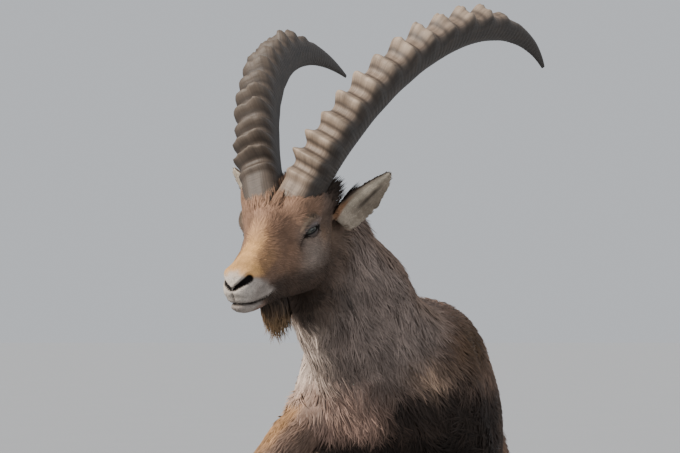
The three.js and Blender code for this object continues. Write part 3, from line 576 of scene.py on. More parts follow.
# Painted shade: near black low on chest, flank and left upper arm, under the body.
lay("241c18", step(-z, -0.20, -0.15) * over("chest", "barrel", "upper_arm_left") * 0.9)
lay("94714f", over("upper_arm_right", "forearm_right") * step(z, 0.16, 0.23)
    * step(-beside_arm(skin_points), -0.016, 0.004))
lay("33281f", over("forearm_right") * step(-z, -0.17, -0.10))
for node, code in (("forearm_left", "2a211b"), ("shank", "3a2c22"), ("fore_", "2d231c"),
                   ("hind_", "2d231c"), ("tail", "2c211a")):
    lay(code, over(node) * 0.95)
lay("8f7966", over("rump") * step(y, 0.56, 0.64) * bell(x - 0.07, 0.06) * 0.6)

# Face: brown brow, golden bridge with painted shade on its sides, pale grey muzzle and chin, dark cheeks
# and jaw
face = head_frame(skin_points)
f, s, u = face.T
side = np.abs(s)
on_head = over("head", "lower_jaw", "neck") * step(-behind_seam(skin_points), -0.04, 0.012)
lay("6f6056", on_head)
lay("7b604e", on_head * step(u, -0.004, 0.026) * step(f, -0.05, -0.02))
lay("8a6c57", on_head * step(u, 0.015, 0.045) * bell(s, 0.032) * step(f, -0.04, 0.0))
lay("8a6c58", on_head * step(f, 0.02, 0.05) * step(u + 0.30 * f, -0.034, -0.006))
# Painted shade on the sides of the bridge, below its golden top.
lay("645040", on_head * bell(f - 0.070, 0.035) * bell(u + 0.046, 0.016))
gold_edge = np.interp(f, (0.05, 0.085, 0.110, 0.128, 0.15), (-0.018, -0.034, -0.049, -0.048, -0.052))
golden = step(f, 0.055, 0.100) * step(u - gold_edge, -0.007, 0.005)
lay("c99b66", on_head * golden)
# Painted shade: the bridge's sides darker, where they turn away from the key light.
lay("6b5242", on_head * step(f, 0.02, 0.05) * step(-f, -0.125, -0.105) * step(side, 0.008, 0.018) * 0.75)
lay("45372e", on_head * step(-u - 0.08 * f, 0.042, 0.066) * step(-f, -0.112, -0.088))
lay("30261f", on_head * step(-u, 0.080, 0.102) * step(-f, -0.104, -0.088))
lay("4a3c33", on_head * step(-f, 0.035, 0.07) * step(-u, 0.0, 0.05))
lay("33291f", over("head", "neck") * bell(f + 0.086, 0.034) * step(u, 0.006, 0.03))
lay("6f5a49", on_head * bell(f + 0.075, 0.04) * bell(u - 0.005, 0.035))
lay("7a5c42", on_head * bell(f + 0.034, 0.014) * bell(u - 0.004, 0.022) * step(side, 0.04, 0.05) * 0.8)
lay("5f5047", on_head * step(side, 0.040, 0.054) * step(-f, -0.004, 0.03) * step(u, -0.02, 0.01) * 0.75)
lay("7d6f65", on_head * bell(f + 0.004, 0.027) * bell(u + 0.036, 0.020) * step(side, 0.02, 0.035))
grey_edge = np.interp(u, (-0.086, -0.075, -0.063, -0.054, -0.046), (0.078, 0.087, 0.103, 0.118, 0.156))
lip = np.interp(f, *zip(*MOUTH))
muzzle_grey = step(f - grey_edge + 0.003 * fine, -0.014, 0.010) * step(u - lip, -0.004, 0.0)
lay("8a8078", on_head * muzzle_grey)
lay("9b9289", on_head * muzzle_grey * step(f, 0.12, 0.15))
lay("968c84", on_head * step(f, 0.098, 0.114) * step(lip - u, 0.0, 0.004))
lay("8d7468", on_head * bell(f - 0.104, 0.011) * step(lip - u, 0.004, 0.010))
lay("140e0c", on_head * step(f, 0.077, 0.084) * bell(u - lip, 0.0022) * 1.3)
lay("231a17", on_head * bell(s, 0.0018) * bell(u + 0.078, 0.009) * step(f, 0.140, 0.147) * 0.8)
nostrils = np.zeros(len(f))
for eye_side in (1, -1):
    slit = to_nostril(face, eye_side)
    nostrils = np.maximum(nostrils, step(-slit, -1.45, -0.95) * (f > 0.11))
    eye, a, b, c = about_eye(face, eye_side)
    seen = on_head * (c > 0.002) * (np.linalg.norm(eye, axis=1) < 0.06)
    close, bow = step(-np.abs(a), -0.026, -0.012), 20 * a * a
    lay("544c42", seen * bell(b - 0.020 + bow, 0.0065) * close * 0.85)
    lay("7d7472", seen * bell(b - 0.0088 + bow, 0.0042) * close * 0.9)
    lay("857468", seen * bell(b + 0.015 - bow, 0.005) * close * 0.5)
    ring = np.sqrt((a / 0.0205) ** 2 + ((b + 0.0018) / 0.0056) ** 2)
    lay("140f0d", seen * step(-ring, -1.2, -0.95))
    tear = to_segment(np.stack((a, b), 1), (0.016, -0.001), (0.036, -0.014))[0]
    lay("251c18", seen * bell(tear, 0.0032) * 0.9)
# Painted shade: the nostril slits near black inside.
lay("0e0a09", on_head * nostrils)

# Ears: brown outside, inside pale with painted shade in the hollow along the lower half and a brown upper
# rim
EAR_LENGTH = 0.116
EAR_AT = (-0.096, 0.055, -0.004)  # the left ear's root in the head's frame
EAR_OPENING = (0.8645, 0.3144, -0.3922)  # the way that its hollow side faces


def ear_place(face, ear_side):
    """How far points lie along the ear and across it, its upper edge at 1 and its lower one at -1."""
    from_root = face - mirrored(EAR_AT, ear_side)
    t = np.clip(from_root @ mirrored((0.010, 0.769, 0.639), ear_side) / EAR_LENGTH, 0, 1)
    half = 0.004 + 0.025 * np.sin(math.pi * np.minimum(0.18 + 0.8 * t ** 1.1, 1)) ** 0.85 * (1 - 0.3 * t)
    return t, from_root @ mirrored((0.5025, -0.5563, 0.6617), ear_side) / half


for name, ear_side in (("ear_left", 1), ("ear_right", -1)):
    ears = eased(skin_mesh, labelled(skin_label, name) * 1.0, 4)
    t, v = ear_place(face, ear_side)
    inside = ears * step(skin_ways @ (mirrored(EAR_OPENING, ear_side) @ HEAD_AXES), 0.0, 0.35)
    lay("5f4c3f", ears)
    lay("3a2f28", ears * step(t, 0.75, 0.95) * 0.7)
    lay("a39686", inside)
    lay("cfc2ae", inside * bell(v - 0.22, 0.28) * step(t, 0.12, 0.35))
    # Painted shade: a dark streak in the ear's hollow.
    lay("3d342e", inside * bell(v + 0.26, 0.11) * step(t, 0.2, 0.4) * step(-t, -0.85, -0.6) * 0.85)
    lay("86644a", inside * step(v, 0.35, 0.6) * step(-t, -0.5, -0.2))
    lay("40342b", inside * step(v, 0.62, 0.85) * step(t, 0.12, 0.3))
skin_color *= 1.3 * (1 + 0.14 * wave + 0.08 * fine)[:, None]


def colored(mesh, name, values):
    """Stores a colour or a number at each vertex, for the finishes to read."""
    kind, key = ("FLOAT_COLOR", "color") if values.ndim == 2 else ("FLOAT", "value")
    if values.ndim == 2:
        values = np.c_[values, np.ones(len(values))]
    write(mesh.attributes.new(name, kind, "POINT").data, key, values)


def shown(name, mesh, finish, slot, *nodes, smooth=True):
    """A finished piece: its mesh, material, body and the solids that it stands for."""
    mesh.materials.clear()
    mesh.materials.append(finish.material)
    mesh.polygons.foreach_set("use_smooth", [smooth] * len(mesh.polygons))
    piece = bpy.data.objects.new(name, mesh)
    scene.collection.objects.link(piece)
    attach(piece, "root")
    if nodes:
        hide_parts(*nodes)
    return piece


colored(skin_mesh, "coat_color", skin_color * (0.75 + 0.25 * muzzle_grey * on_head)[:, None])
skin_finish = Finish("skin_finish", Roughness=0.9, Specular_IOR_Level=0.15)
skin_paint = skin_finish.attribute("coat_color")
skin_hair = skin_finish.noise(skin_finish.stretched(skin_finish.place(), (1, 1, 0.45)), 420.0, 3.0, 0.6)
skin_finish.feed("Base Color", skin_finish.shaded(skin_paint, 0.72 + 0.56 * skin_hair))
skin_finish.bump(skin_hair, 0.0012, 0.7)
shown("skin", skin_mesh, skin_finish, "coat", *FLESH)


# Coat: some hundred and ten thousand tufts rooted in the skin. Each is a thin three-sided lock that
# lies the way the hair grows, from the nose back over the face and down the neck, trunk and legs.
def lie_of_coat(points, labels):
    """The way the hair grows at each point, before it is laid along the skin."""
    way = np.tile((0.0, 0.85, -0.55), (len(points), 1))

    def turn(share, direction):
        share = np.clip(share, 0, 1)[:, None]
        way[:] = way * (1 - share) + np.array(direction) * share

    middle = {n: sum(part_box(n), Vector()) / 2 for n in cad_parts}
    on_head = labelled(labels, "head", "lower_jaw", "neck") * step(-behind_seam(points), -0.03, 0.01)
    for side in ("left", "right"):
        for leg, top, below in (("fore", "upper_arm", "forearm"), ("hind", "thigh", "shank")):
            feet = [f"{leg}_{side}_{part}" for part in ("cannon", "pastern", "hoof_outer")]
            chain = [f"{top}_{side}", f"{below}_{side}", *feet]
            for upper, lower in zip(chain, chain[1:]):
                turn(labelled(labels, upper), (middle[lower] - middle[upper]).normalized())
    turn(labelled(labels, "thigh") * 0.6, (0, 0.75, -0.7))
    turn(labelled(labels, "tail") * 1.0, (0.02, 0.3, -0.95))
    turn(labelled(labels, "upper_arm_right") * step(beside_arm(points), -0.01, 0.01), (0.1, -0.1, -1.0))
    turn(labelled(labels, "rump") * 0.6, (0, 0.75, -0.65))
    turn(labelled(labels, "neck") * 1.0, (0.28, 0.35, -0.85))
    in_front = step(-points[:, 1], 0.2, 0.3)
    turn(labelled(labels, "chest") * in_front, (0.0, -0.1, -1.0))
    fan = np.clip((points[:, 0] + 0.06) * 4, -0.6, 0.8)
    way[:, 0] += labelled(labels, "chest", "upper_arm") * in_front * fan
    f, s, u = head_frame(points).T
    flow = np.stack((-0.9 + 0 * f, 0.25 * np.sign(s), -0.28 + 0 * f), 1)
    high = (step(u, -0.005, 0.03) * step(-f, -0.09, -0.05))[:, None]
    flow = flow * (1 - high) + high * np.stack((-0.55 + 0 * f, 9 * s, 0.7 + 0 * f), 1)
    low = (step(-u, 0.06, 0.085))[:, None]
    flow = flow * (1 - low) + low * np.stack((-0.8 + 0 * f, 0 * s, -0.6 + 0 * f), 1)
    way[:] = way * (1 - on_head[:, None]) + (flow @ HEAD_AXES) * on_head[:, None]
    for name, side in (("ear_left", 1), ("ear_right", -1)):
        turn(labelled(labels, name) * 1.0, mirrored((-0.05, 0.77, 0.64), side) @ HEAD_AXES)
    return way / np.linalg.norm(way, axis=1)[:, None]


# The hairs' length, half width, spacing and lift over each solid
COAT = {"head": (0.0085, 0.00062, 0.0020, 0.15), "lower_jaw": (0.010, 0.0007, 0.0022, 0.18),
        "ear": (0.0055, 0.0005, 0.0018, 0.03), "neck": (0.038, 0.00115, 0.0031, 0.22),
        "chest": (0.038, 0.0013, 0.0036, 0.24), "barrel": (0.036, 0.0017, 0.0053, 0.20),
        "rump": (0.036, 0.0017, 0.0053, 0.20), "upper_arm": (0.034, 0.0013, 0.0038, 0.22),
        "thigh": (0.034, 0.0016, 0.0050, 0.20), "forearm": (0.018, 0.0012, 0.0038, 0.2),
        "shank": (0.020, 0.0013, 0.0042, 0.2), "tail": (0.05, 0.0013, 0.0036, 0.2),
        "cannon": (0.010, 0.001, 0.0033, 0.15), "pastern": (0.010, 0.001, 0.0032, 0.2)}
LENGTH, HALF_WIDTH, SPACING, LIFT = ({node: row[i] for node, row in COAT.items()} for i in range(4))
HAIR_SEAM = 0.035  # how far behind the seam the hairs of the head's skin give way to the body's
BREAST_TOP = 0.33  # below this height no hair gives way
HAIR_LOW = 0.004  # and below this one none grows or ends

skin_lie = eased(skin_mesh, lie_of_coat(skin_points, skin_label), 10)
skin_mesh.calc_loop_triangles()
corners = read(skin_mesh.loop_triangles, "vertices", 3, np.int32)
a, b, c = (skin_points[corners[:, i]] for i in range(3))
area = np.linalg.norm(np.cross(b - a, c - a), axis=1) / 2
centre = (a + b + c) / 3
ahead_of_seam = (centre - SEAM_AT) @ SEAM_WAY
of_head = corners[:, 0] < HEAD_COUNT
covered = np.where(of_head, ahead_of_seam < -HAIR_SEAM - 0.001,
                   (ahead_of_seam > 0.001 - HAIR_SEAM) & (centre[:, 2] > BREAST_TOP))
share = area / over_body(SPACING, skin_label[corners[:, 0]], centre) ** 2
share *= ~covered & (centre[:, 2] > HAIR_LOW)
rng = np.random.default_rng(11)
count = np.floor(share + rng.random(len(share))).astype(int)
owner = np.repeat(np.arange(len(count)), count)
weight = rng.dirichlet((1, 1, 1), len(owner))


def from_skin(values):
    """Values at the skin's vertices, read at every root."""
    parts = [values[corners[owner, i]] for i in range(3)]
    return sum(p * (weight[:, i] if p.ndim == 1 else weight[:, i:i + 1]) for i, p in enumerate(parts))


def unit(vectors):
    return vectors / np.maximum(np.linalg.norm(vectors, axis=1), 1e-9)[:, None]


HORN_AT = (-0.030, 0.040, 0.072)  # the left horn's foot in the head's frame
HORN_WAY = (-0.46, 0.34, 0.82)
SOCKET = 0.052  # half the width of the place where it stands, which bears no hair


def horn_foot(side):
    """Where a horn leaves the head, the way it grows, and the lower end of its root."""
    foot, grow = mirrored(HORN_AT, side), mirrored(HORN_WAY, side)
    return foot, grow, foot - 0.06 * grow


root = from_skin(skin_points)
thin = eased(skin_mesh, labelled(skin_label, "ear") * 1.0, 2)[:, None]
normal = unit(from_skin(eased(skin_mesh, skin_ways, 5) * (1 - thin) + skin_ways * thin))
label = skin_label[corners[owner, 0]]
face = head_frame(root)
bare = from_skin(nostrils) > 0.12
bare |= labelled(label, "head", "lower_jaw") & (face[:, 0] > 0.078) & (
    np.abs(face[:, 2] - np.interp(face[:, 0], *zip(*MOUTH))) < 0.0026)
for side in (1, -1):
    eye, a, b, c = about_eye(face, side)
    t = a / (EYE_HALF_LENGTH + 0.002)
    bare |= (np.abs(t) < 1) & (c > 0) & (b < lid_line(t, True) + 0.0024) & (b > lid_line(t, False) - 0.0022)
    # nothing grows in the sockets that the horns stand in
    foot, grow, low_end = horn_foot(side)
    distance, t = to_segment(face, low_end, foot + 0.05 * grow)
    inward = unit(low_end + (0.11 * t)[:, None] * grow - face)
    bare |= (distance < SOCKET) & (((normal @ HEAD_AXES.T) * inward).sum(1) > 0.15)
keep = ~bare
owner, weight = owner[keep], weight[keep]
root, normal, label, face = root[keep], normal[keep], label[keep], face[keep]

# Hairs gather in clumps: their ways and colours follow unevenness of a few sizes over the body
lie = from_skin(skin_lie)
stray = np.stack([ripples(root, 0.05, 20 + i) for i in range(3)], 1) * 0.34
stray += np.stack([ripples(root, 0.015, 30 + i) for i in range(3)], 1) * 0.20
stray += rng.normal(0, 0.07, root.shape)
swirl = labelled(label, "head") * step(face[:, 2], 0.0, 0.03)
lie = lie + stray * (0.55 + 0.45 * labelled(label, "neck", "chest", "upper_arm") + 1.2 * swirl)[:, None]
lie = unit(lie - normal * (lie * normal).sum(1)[:, None])
length = over_body(LENGTH, label, root) * rng.uniform(0.75, 1.2, len(label))
width = over_body(HALF_WIDTH, label, root) * rng.uniform(0.75, 1.2, len(label))
lift = over_body(LIFT, label, root) * rng.uniform(0.6, 1.35, len(label))
lie[:, 2] = np.maximum(lie[:, 2], (HAIR_LOW - root[:, 2]) / length)
lie = unit(lie)
muzzle = labelled(label, "head", "lower_jaw") * step(face[:, 0], 0.06, 0.13)
velvet = bell(np.minimum(to_nostril(face, 1), to_nostril(face, -1)), 4.0) * muzzle
one_sided = face * (1, 0, 1) + np.abs(face) * (0, 1, 0)
near_eye = bell(np.linalg.norm(one_sided - EYE_PLACE - (0.002, 0, 0), axis=1), 0.026)
near_eye *= labelled(label, "head")
# Longer hair stands between the horns and the ears, and a fringe round the horns' feet
crown = labelled(label, "head", "neck") * bell(face[:, 0] + 0.086, 0.03) * step(face[:, 2], 0.006, 0.03)
fringe = np.zeros(len(face))
for side in (1, -1):
    foot, grow, low_end = horn_foot(side)
    near = labelled(label, "head") * step(-to_segment(face, low_end, foot)[0], -SOCKET, 0.008 - SOCKET)
    near *= step(face[:, 2], 0.015, 0.035) * (side * face[:, 1] > -0.002)
    near *= step(-face[:, 1], -0.026, -0.012)  # the fur is short at the left horn's outer foot
    opening = mirrored(EAR_OPENING, side) @ HEAD_AXES
    root_of_ear = labelled(label, "ear") & (normal @ opening < 0) & (side * face[:, 1] > 0)
    crown = np.maximum(crown, root_of_ear * step(-side * face[:, 1], -0.078, -0.066))
    fringe = np.maximum(fringe, near)
    lie += (near * (1 - crown))[:, None] * (2.0 * grow @ HEAD_AXES - lie)
    up_and_out = mirrored((-0.35, 0.62, 0.62), side) @ HEAD_AXES
    lie += (crown * (side * face[:, 1] > 0))[:, None] * (up_and_out - lie)
lie = unit(lie)
length *= (1 - 0.55 * muzzle) * (1 - 0.5 * velvet) * (1 - 0.5 * near_eye) * (1 + 0.35 * swirl)
length += crown * (0.036 - length) * rng.uniform(0.6, 1.1, len(label))
length += fringe * (1 - crown) * (0.019 - length) * rng.uniform(0.6, 1.1, len(label))
width *= (1 - 0.25 * muzzle) * (1 - 0.2 * near_eye) * (1 + 0.6 * crown)
lift *= (1 - 0.5 * muzzle) * (1 - 0.5 * velvet) * (1 - 0.5 * near_eye)
lift += 0.4 * crown + 0.25 * fringe
clump = ripples(root, 0.011, 41) * 0.5 + ripples(root, 0.026, 42) * 0.5
tone = 1 + 0.42 * clump * (0.5 + 0.5 * labelled(label, "neck", "chest", "upper_arm"))
tone += rng.normal(0, 0.10, len(label))
hair = from_skin(skin_color) * np.clip(tone, 0.35, 1.8)[:, None]
hair += crown[:, None] * (np.array(paint("41362e")) * np.clip(tone, 0.5, 1.6)[:, None] - hair)

# Every tuft has its patch on an unwrap of the skin's own form, at its root's place there
chart_body = bpy.data.objects.new("chart", skin_mesh.copy())
scene.collection.objects.link(chart_body)
coarse = chart_body.modifiers.new("coarse", "DECIMATE")
coarse.ratio = 0.05
chart_mesh = evaluated(chart_body)
chart_body.modifiers.clear()
chart_body.data = chart_mesh
chart_mesh.attributes.remove(chart_mesh.attributes["coat_color"])
bpy.context.view_layer.objects.active = chart_body
chart_body.select_set(True)
bpy.ops.object.mode_set(mode="EDIT")
bpy.ops.mesh.select_all(action="SELECT")
bpy.ops.uv.smart_project(angle_limit=math.radians(66), island_margin=0.004)
bpy.ops.object.mode_set(mode="OBJECT")
chart_mesh.calc_loop_triangles()
chart_corners = np.array([t.vertices[:] for t in chart_mesh.loop_triangles])
chart_loops = np.array([t.loops[:] for t in chart_mesh.loop_triangles])
chart_uv = read(chart_mesh.uv_layers.active.data, "uv", 2)
chart_points = places(chart_mesh)
chart_tree = BVHTree.FromPolygons(chart_points.tolist(), chart_corners.tolist())
bpy.data.objects.remove(chart_body)


def on_chart(points):
    """The place of each point on the skin's unwrap."""
    found = [chart_tree.find_nearest(p) for p in points.tolist()]
    at = np.array([f[0] for f in found])
    face_of = np.array([f[2] for f in found])
    a, b, c = (chart_points[chart_corners[face_of, i]] for i in range(3))
    across = np.cross(b - a, c - a)
    square = np.maximum((across * across).sum(1), 1e-18)
    wb = (np.cross(at - a, c - a) * across).sum(1) / square
    wc = (np.cross(b - a, at - a) * across).sum(1) / square
    weights = np.clip(np.stack((1 - wb - wc, wb, wc), 1), 0, 1)
    return sum(chart_uv[chart_loops[face_of, i]] * weights[:, i:i + 1] for i in range(3))


PATCH = 0.003  # size of a tuft's patch on the unwrap
DROOP = 0.6  # how far a tuft bends back to the skin
ROOF = 0.8  # its height as a share of its half width


def tufted(name, root, way, normal, length, width, lift, color, rings=2, wave=None):
    """Thin three-sided locks from roots along `way`, rising off the skin and bending back to it. They
    are lit much as the skin below them is, so that the coat reads as one soft body."""
    number, across = len(root), unit(np.cross(normal, way))
    chart = on_chart(root)
    points, uvs, shades, shine_ways = [], [], [], []
    tilt = rng.normal(0, 0.16, root.shape)
    for ring in range(rings + 1):
        t = ring / rings
        rise = lift * (t - DROOP * t * t) - 0.04 * (1 - t)
        middle = root + way * (length * t)[:, None] + normal * (length * rise)[:, None]
        if wave is not None:
            middle += across * (length * wave * math.sin(4.2 * t) * 0.12)[:, None]
        if ring == rings:
            corners_here = [(0.0, 0.0)]
        else:
            full = (0.75, 1.0, 0.8, 0.55)[ring] if rings > 2 else (0.85, 0.8)[ring]
            corners_here = [(-full, 0.0), (full, 0.0), (0.0, ROOF * full)]
        for u, h in corners_here:
            points.append(middle + across * (width * u)[:, None] + normal * (width * h)[:, None])
            uvs.append(chart + PATCH * np.array((0.45 * u, t - 0.5)))
            shades.append(color * (0.66 + 0.46 * t))
            shine_ways.append(unit(normal + tilt + across * (0.55 * np.sign(u)) + way * (0.25 * t)))
    per = len(points)
    triangles = [(0, 2, 1)]
    for ring in range(rings - 1):
        for i in range(3):
            a, b = 3 * ring + i, 3 * ring + (i + 1) % 3
            triangles += [(a, b, b + 3), (a, b + 3, a + 3)]
    last = 3 * (rings - 1)
    triangles += [(last + i, last + (i + 1) % 3, last + 3) for i in range(3)]
    points = np.stack(points, 1).reshape(-1, 3)
    uvs = np.stack(uvs, 1).reshape(-1, 2)
    shades = np.stack(shades, 1).reshape(-1, 3)
    faces = (np.array(triangles)[None] + per * np.arange(number)[:, None, None]).reshape(-1, 3)
    mesh = bpy.data.meshes.new(name)
    mesh.vertices.add(len(points))
    write(mesh.vertices, "co", points)
    mesh.loops.add(faces.size)
    write(mesh.loops, "vertex_index", faces, np.int32)
    mesh.polygons.add(len(faces))
    write(mesh.polygons, "loop_start", np.arange(0, faces.size, 3), np.int32)
    mesh.update(calc_edges=True)
    write(mesh.uv_layers.new(name="OFBake").data, "uv", uvs[faces.ravel()])
    colored(mesh, "coat_color", shades)
    mesh.polygons.foreach_set("use_smooth", [True] * len(faces))
    mesh.normals_split_custom_set_from_vertices(np.stack(shine_ways, 1).reshape(-1, 3))
    return mesh


coat_finish = Finish("coat_finish", Roughness=0.7, Specular_IOR_Level=0.25)
coat_paint = coat_finish.attribute("coat_color")
coat_grain = coat_finish.noise(coat_finish.stretched(coat_finish.place(), (1, 1, 0.4)), 700.0, 2.0)
coat_finish.feed("Base Color", coat_finish.shaded(coat_paint, 0.8 + 0.4 * coat_grain))

COATS = {"coat_face": ("head", "lower_jaw"), "coat_ears": ("ear",), "coat_neck": ("neck",),
         "coat_breast": ("chest", "upper_arm"), "coat_flank": ("barrel",),
         "coat_rump": ("rump", "thigh", "tail"), "coat_legs": ("forearm", "shank", "fore_", "hind_")}
MOST = 190000  # triangles in one piece of coat
for name, nodes in COATS.items():
    rings = 3 if name in ("coat_neck", "coat_breast") else 2
    chosen = np.flatnonzero(labelled(label, *nodes))
    chosen = chosen[np.argsort(-root[chosen, 2])]
    per = 6 * rings - 2
    parts = max(math.ceil(len(chosen) * per / MOST), 1)
    for part, some in enumerate(np.array_split(chosen, parts)):
        title = f"{name}_{part + 1}" if parts > 1 else name
        mesh = tufted(title, root[some], lie[some], normal[some], length[some], width[some], lift[some],
                      hair[some], rings, wave=rng.uniform(-1, 1, len(some)) if rings > 2 else None)
        shown(title, mesh, coat_finish, "leg_coat" if name == "coat_legs" else "coat")


# Beard: long coarse hair in tapered locks from a mat behind the chin. The locks bend back, overlap
# and end in a soft point, dark brown with rusty tips.
BEARD_LENGTH = 0.078
LOCK_HALF_WIDTH = 0.0014
LOCK_LIFT = 0.10
number = 520
mat = rng.uniform(-1, 1, (number, 2))
mat *= np.minimum(1, 1 / np.maximum(np.linalg.norm(mat, axis=1), 1e-6))[:, None]
beard_root = np.stack((0.028 + 0.034 * mat[:, 0], 0.0135 * mat[:, 1], np.full(number, -0.098)), 1)
beard_way = np.stack((-0.16 - 0.10 * mat[:, 0], -0.14 * mat[:, 1], np.full(number, -0.97)), 1)
beard_way = unit(beard_way + rng.normal(0, 0.06, beard_way.shape))
beard_out = np.stack((0.9 * mat[:, 0] + 0.2, 0.9 * mat[:, 1], np.full(number, 0.15)), 1)
beard_out = unit(beard_out - beard_way * (beard_out * beard_way).sum(1)[:, None])
beard_length = BEARD_LENGTH * (1 - 0.28 * np.linalg.norm(mat, axis=1) ** 2) * rng.uniform(0.7, 1.05, number)
beard_tone = np.clip(rng.normal(1, 0.2, number), 0.6, 1.5)[:, None]
beard_color = (np.array(paint("41352c")) * (1 - 0.5 * rng.random(number))[:, None]
               + np.array(paint("6f5a48")) * 0.4 * (rng.random(number) ** 3)[:, None]) * beard_tone
beard_mesh = tufted("beard_hair", beard_root @ HEAD_AXES + HEAD_AT, beard_way @ HEAD_AXES,
                    beard_out @ HEAD_AXES, beard_length, np.full(number, LOCK_HALF_WIDTH),
                    np.full(number, LOCK_LIFT), beard_color, rings=4, wave=rng.uniform(-1.6, 1.6, number))
tip = np.tile(np.r_[np.repeat([0.0, 0.0, 0.12, 0.6], 3), 1.0], number)[:, None]
layer = read(beard_mesh.attributes["coat_color"].data, "color", 4)
layer[:, :3] = layer[:, :3] * (1 - 0.6 * tip) + np.array(paint("a8865f")) * 0.6 * tip
write(beard_mesh.attributes["coat_color"].data, "color", layer)
shown("beard_hair", beard_mesh, coat_finish, "beard", "beard")


# Eyes: wet balls with a dark greenish iris and the level slot of a goat's pupil. They sit where the
# solid eyes do, between heavy lids with black rims.
def tube(name, points, rings, sides, ends):
    """A closed mesh of rings of points that follow each other, with the faces given at its ends."""
    faces = [(r * sides + s, r * sides + n, (r + 1) * sides + n, (r + 1) * sides + s)
             for r in range(rings - 1) for s in range(sides) for n in [(s + 1) % sides]]
    mesh = bpy.data.meshes.new(name)
    mesh.from_pydata(np.array(points).tolist(), [], faces + ends)
    with opened(mesh) as form:
        bmesh.ops.recalc_face_normals(form, faces=form.faces)
    return mesh


def rounded(name, stops, sides):
    """A tube or ball through rings: each stop is its middle and its two half axes."""
    turn = np.arange(sides) * 2 * math.pi / sides
    points = [m + a * math.cos(q) + b * math.sin(q) for m, a, b in stops for q in turn]
    last = len(points) - sides
    ends = [(last + sides, (s + 1) % sides, s) for s in range(sides)]
    ends += [(last + sides + 1, last + s, last + (s + 1) % sides) for s in range(sides)]
    return tube(name, [*points, stops[0][0], stops[-1][0]], len(stops), sides, ends)


eye_finish = Finish("eye_finish", Roughness=0.15, Coat_Weight=0.35, Coat_Roughness=0.05,
                    Specular_IOR_Level=0.3)
gaze = eye_finish.attribute("gaze", "Vector")
split = eye_finish.add("ShaderNodeSeparateXYZ", {}, [gaze])
level, rise = split, Wire(split.tree, split.socket.node.outputs[1])
from_middle = (level * level + rise * rise) ** 0.5
slot_shape = ((level / 0.32) ** 2.0 + (rise / 0.085) ** 2.0) ** 0.5
threads = eye_finish.noise(eye_finish.stretched(gaze, (1, 1, 6)), 14.0, 3.0)
iris = eye_finish.mixed(threads, paint("2f3029"), paint("55554a"))
iris = eye_finish.mixed(from_middle.above(0.46, 0.58), iris, paint("241e17"))
iris = eye_finish.mixed(from_middle.above(0.60, 0.66), iris, paint("120d0b"))
eye_finish.feed("Base Color", eye_finish.mixed(slot_shape.above(0.85, 1.05), paint("050507"), iris))
# Each piece: whether it is an upper one, how far its middle lies from the edge, its half width and
# half thickness, and its paints. The lids run in under the skin's rim, their edges are black.
LIDS = {"upper_lids": (True, 0.0036, 0.0040, 0.0014, "413937", "635956"),
        "lower_lids": (False, 0.0036, 0.0038, 0.0011, "3b322e", "5c514b"),
        "upper_edges": (True, 0.0, 0.0009, 0.0009, "0b0908", "1d1714"),
        "lower_edges": (False, 0.0, 0.0014, 0.0013, "0b0908", "1d1714")}
LID_REACH = 1.08  # how far they run along the eye's half length, past its corners
lid_meshes = {lid: [] for lid in LIDS}
for name, side in (("left", 1), ("right", -1)):
    out, along, up = (v @ HEAD_AXES for v in eye_axes(side))
    at = np.array(EYE_AT[name])
    x_way, y_way, z_way = (v * EYE_RADIUS for v in (along, up, out))
    stops = [(at + z_way * math.cos(q), x_way * math.sin(q), y_way * math.sin(q))
             for q in np.linspace(0.03, math.pi - 0.03, 40)]
    ball = rounded(f"eyeball_{name}", stops, 48)
    seen = (places(ball) - at) / EYE_RADIUS
    layer = ball.attributes.new("gaze", "FLOAT_VECTOR", "POINT")
    write(layer.data, "vector", np.stack((seen @ along, seen @ up, seen @ out), 1))
    shown(f"eyeball_{name}", ball, eye_finish, "eye", f"eye_{name}")
    for lid, (upper, off, half_wide, half_thick, dark, light) in LIDS.items():
        t = np.linspace(-LID_REACH, LID_REACH, 40)
        a = EYE_HALF_LENGTH * t
        b = np.where(np.abs(t) < 1, lid_line(np.clip(t, -1, 1), upper), 0)
        b -= 0.0096 * np.clip(np.abs(t) - 1, 0, 1)
        b += (off if upper else -off) * (1 - 0.55 * np.abs(t / LID_REACH) ** 3)
        reach = EYE_RADIUS + 0.0004
        c = np.sqrt(np.maximum(reach ** 2 - a * a - b * b, 1e-6))
        line = at + a[:, None] * along + b[:, None] * up + c[:, None] * out
        slim = 1 - 0.5 * np.abs(t / LID_REACH) ** 3
        run = unit(np.gradient(line, axis=0))
        outer = unit(line - at)
        stops = [(p, o * half_thick * w, np.cross(r, o) * half_wide * w)
                 for p, o, r, w in zip(line, outer, run, slim)]
        lid_meshes[lid].append(rounded("lid", stops, 16))
for lid, (*_, dark, light) in LIDS.items():
    lid_finish = Finish(f"{lid}_finish", Roughness=0.5, Specular_IOR_Level=0.25)
    lid_grain = lid_finish.noise(lid_finish.place(), 900.0, 3.0)
    lid_finish.feed("Base Color", lid_finish.mixed(lid_grain, paint(dark), paint(light)))
    lid_finish.bump(lid_grain, 0.0004, 0.6)
    shown(lid, joined(lid, lid_meshes[lid]), lid_finish, "coat")


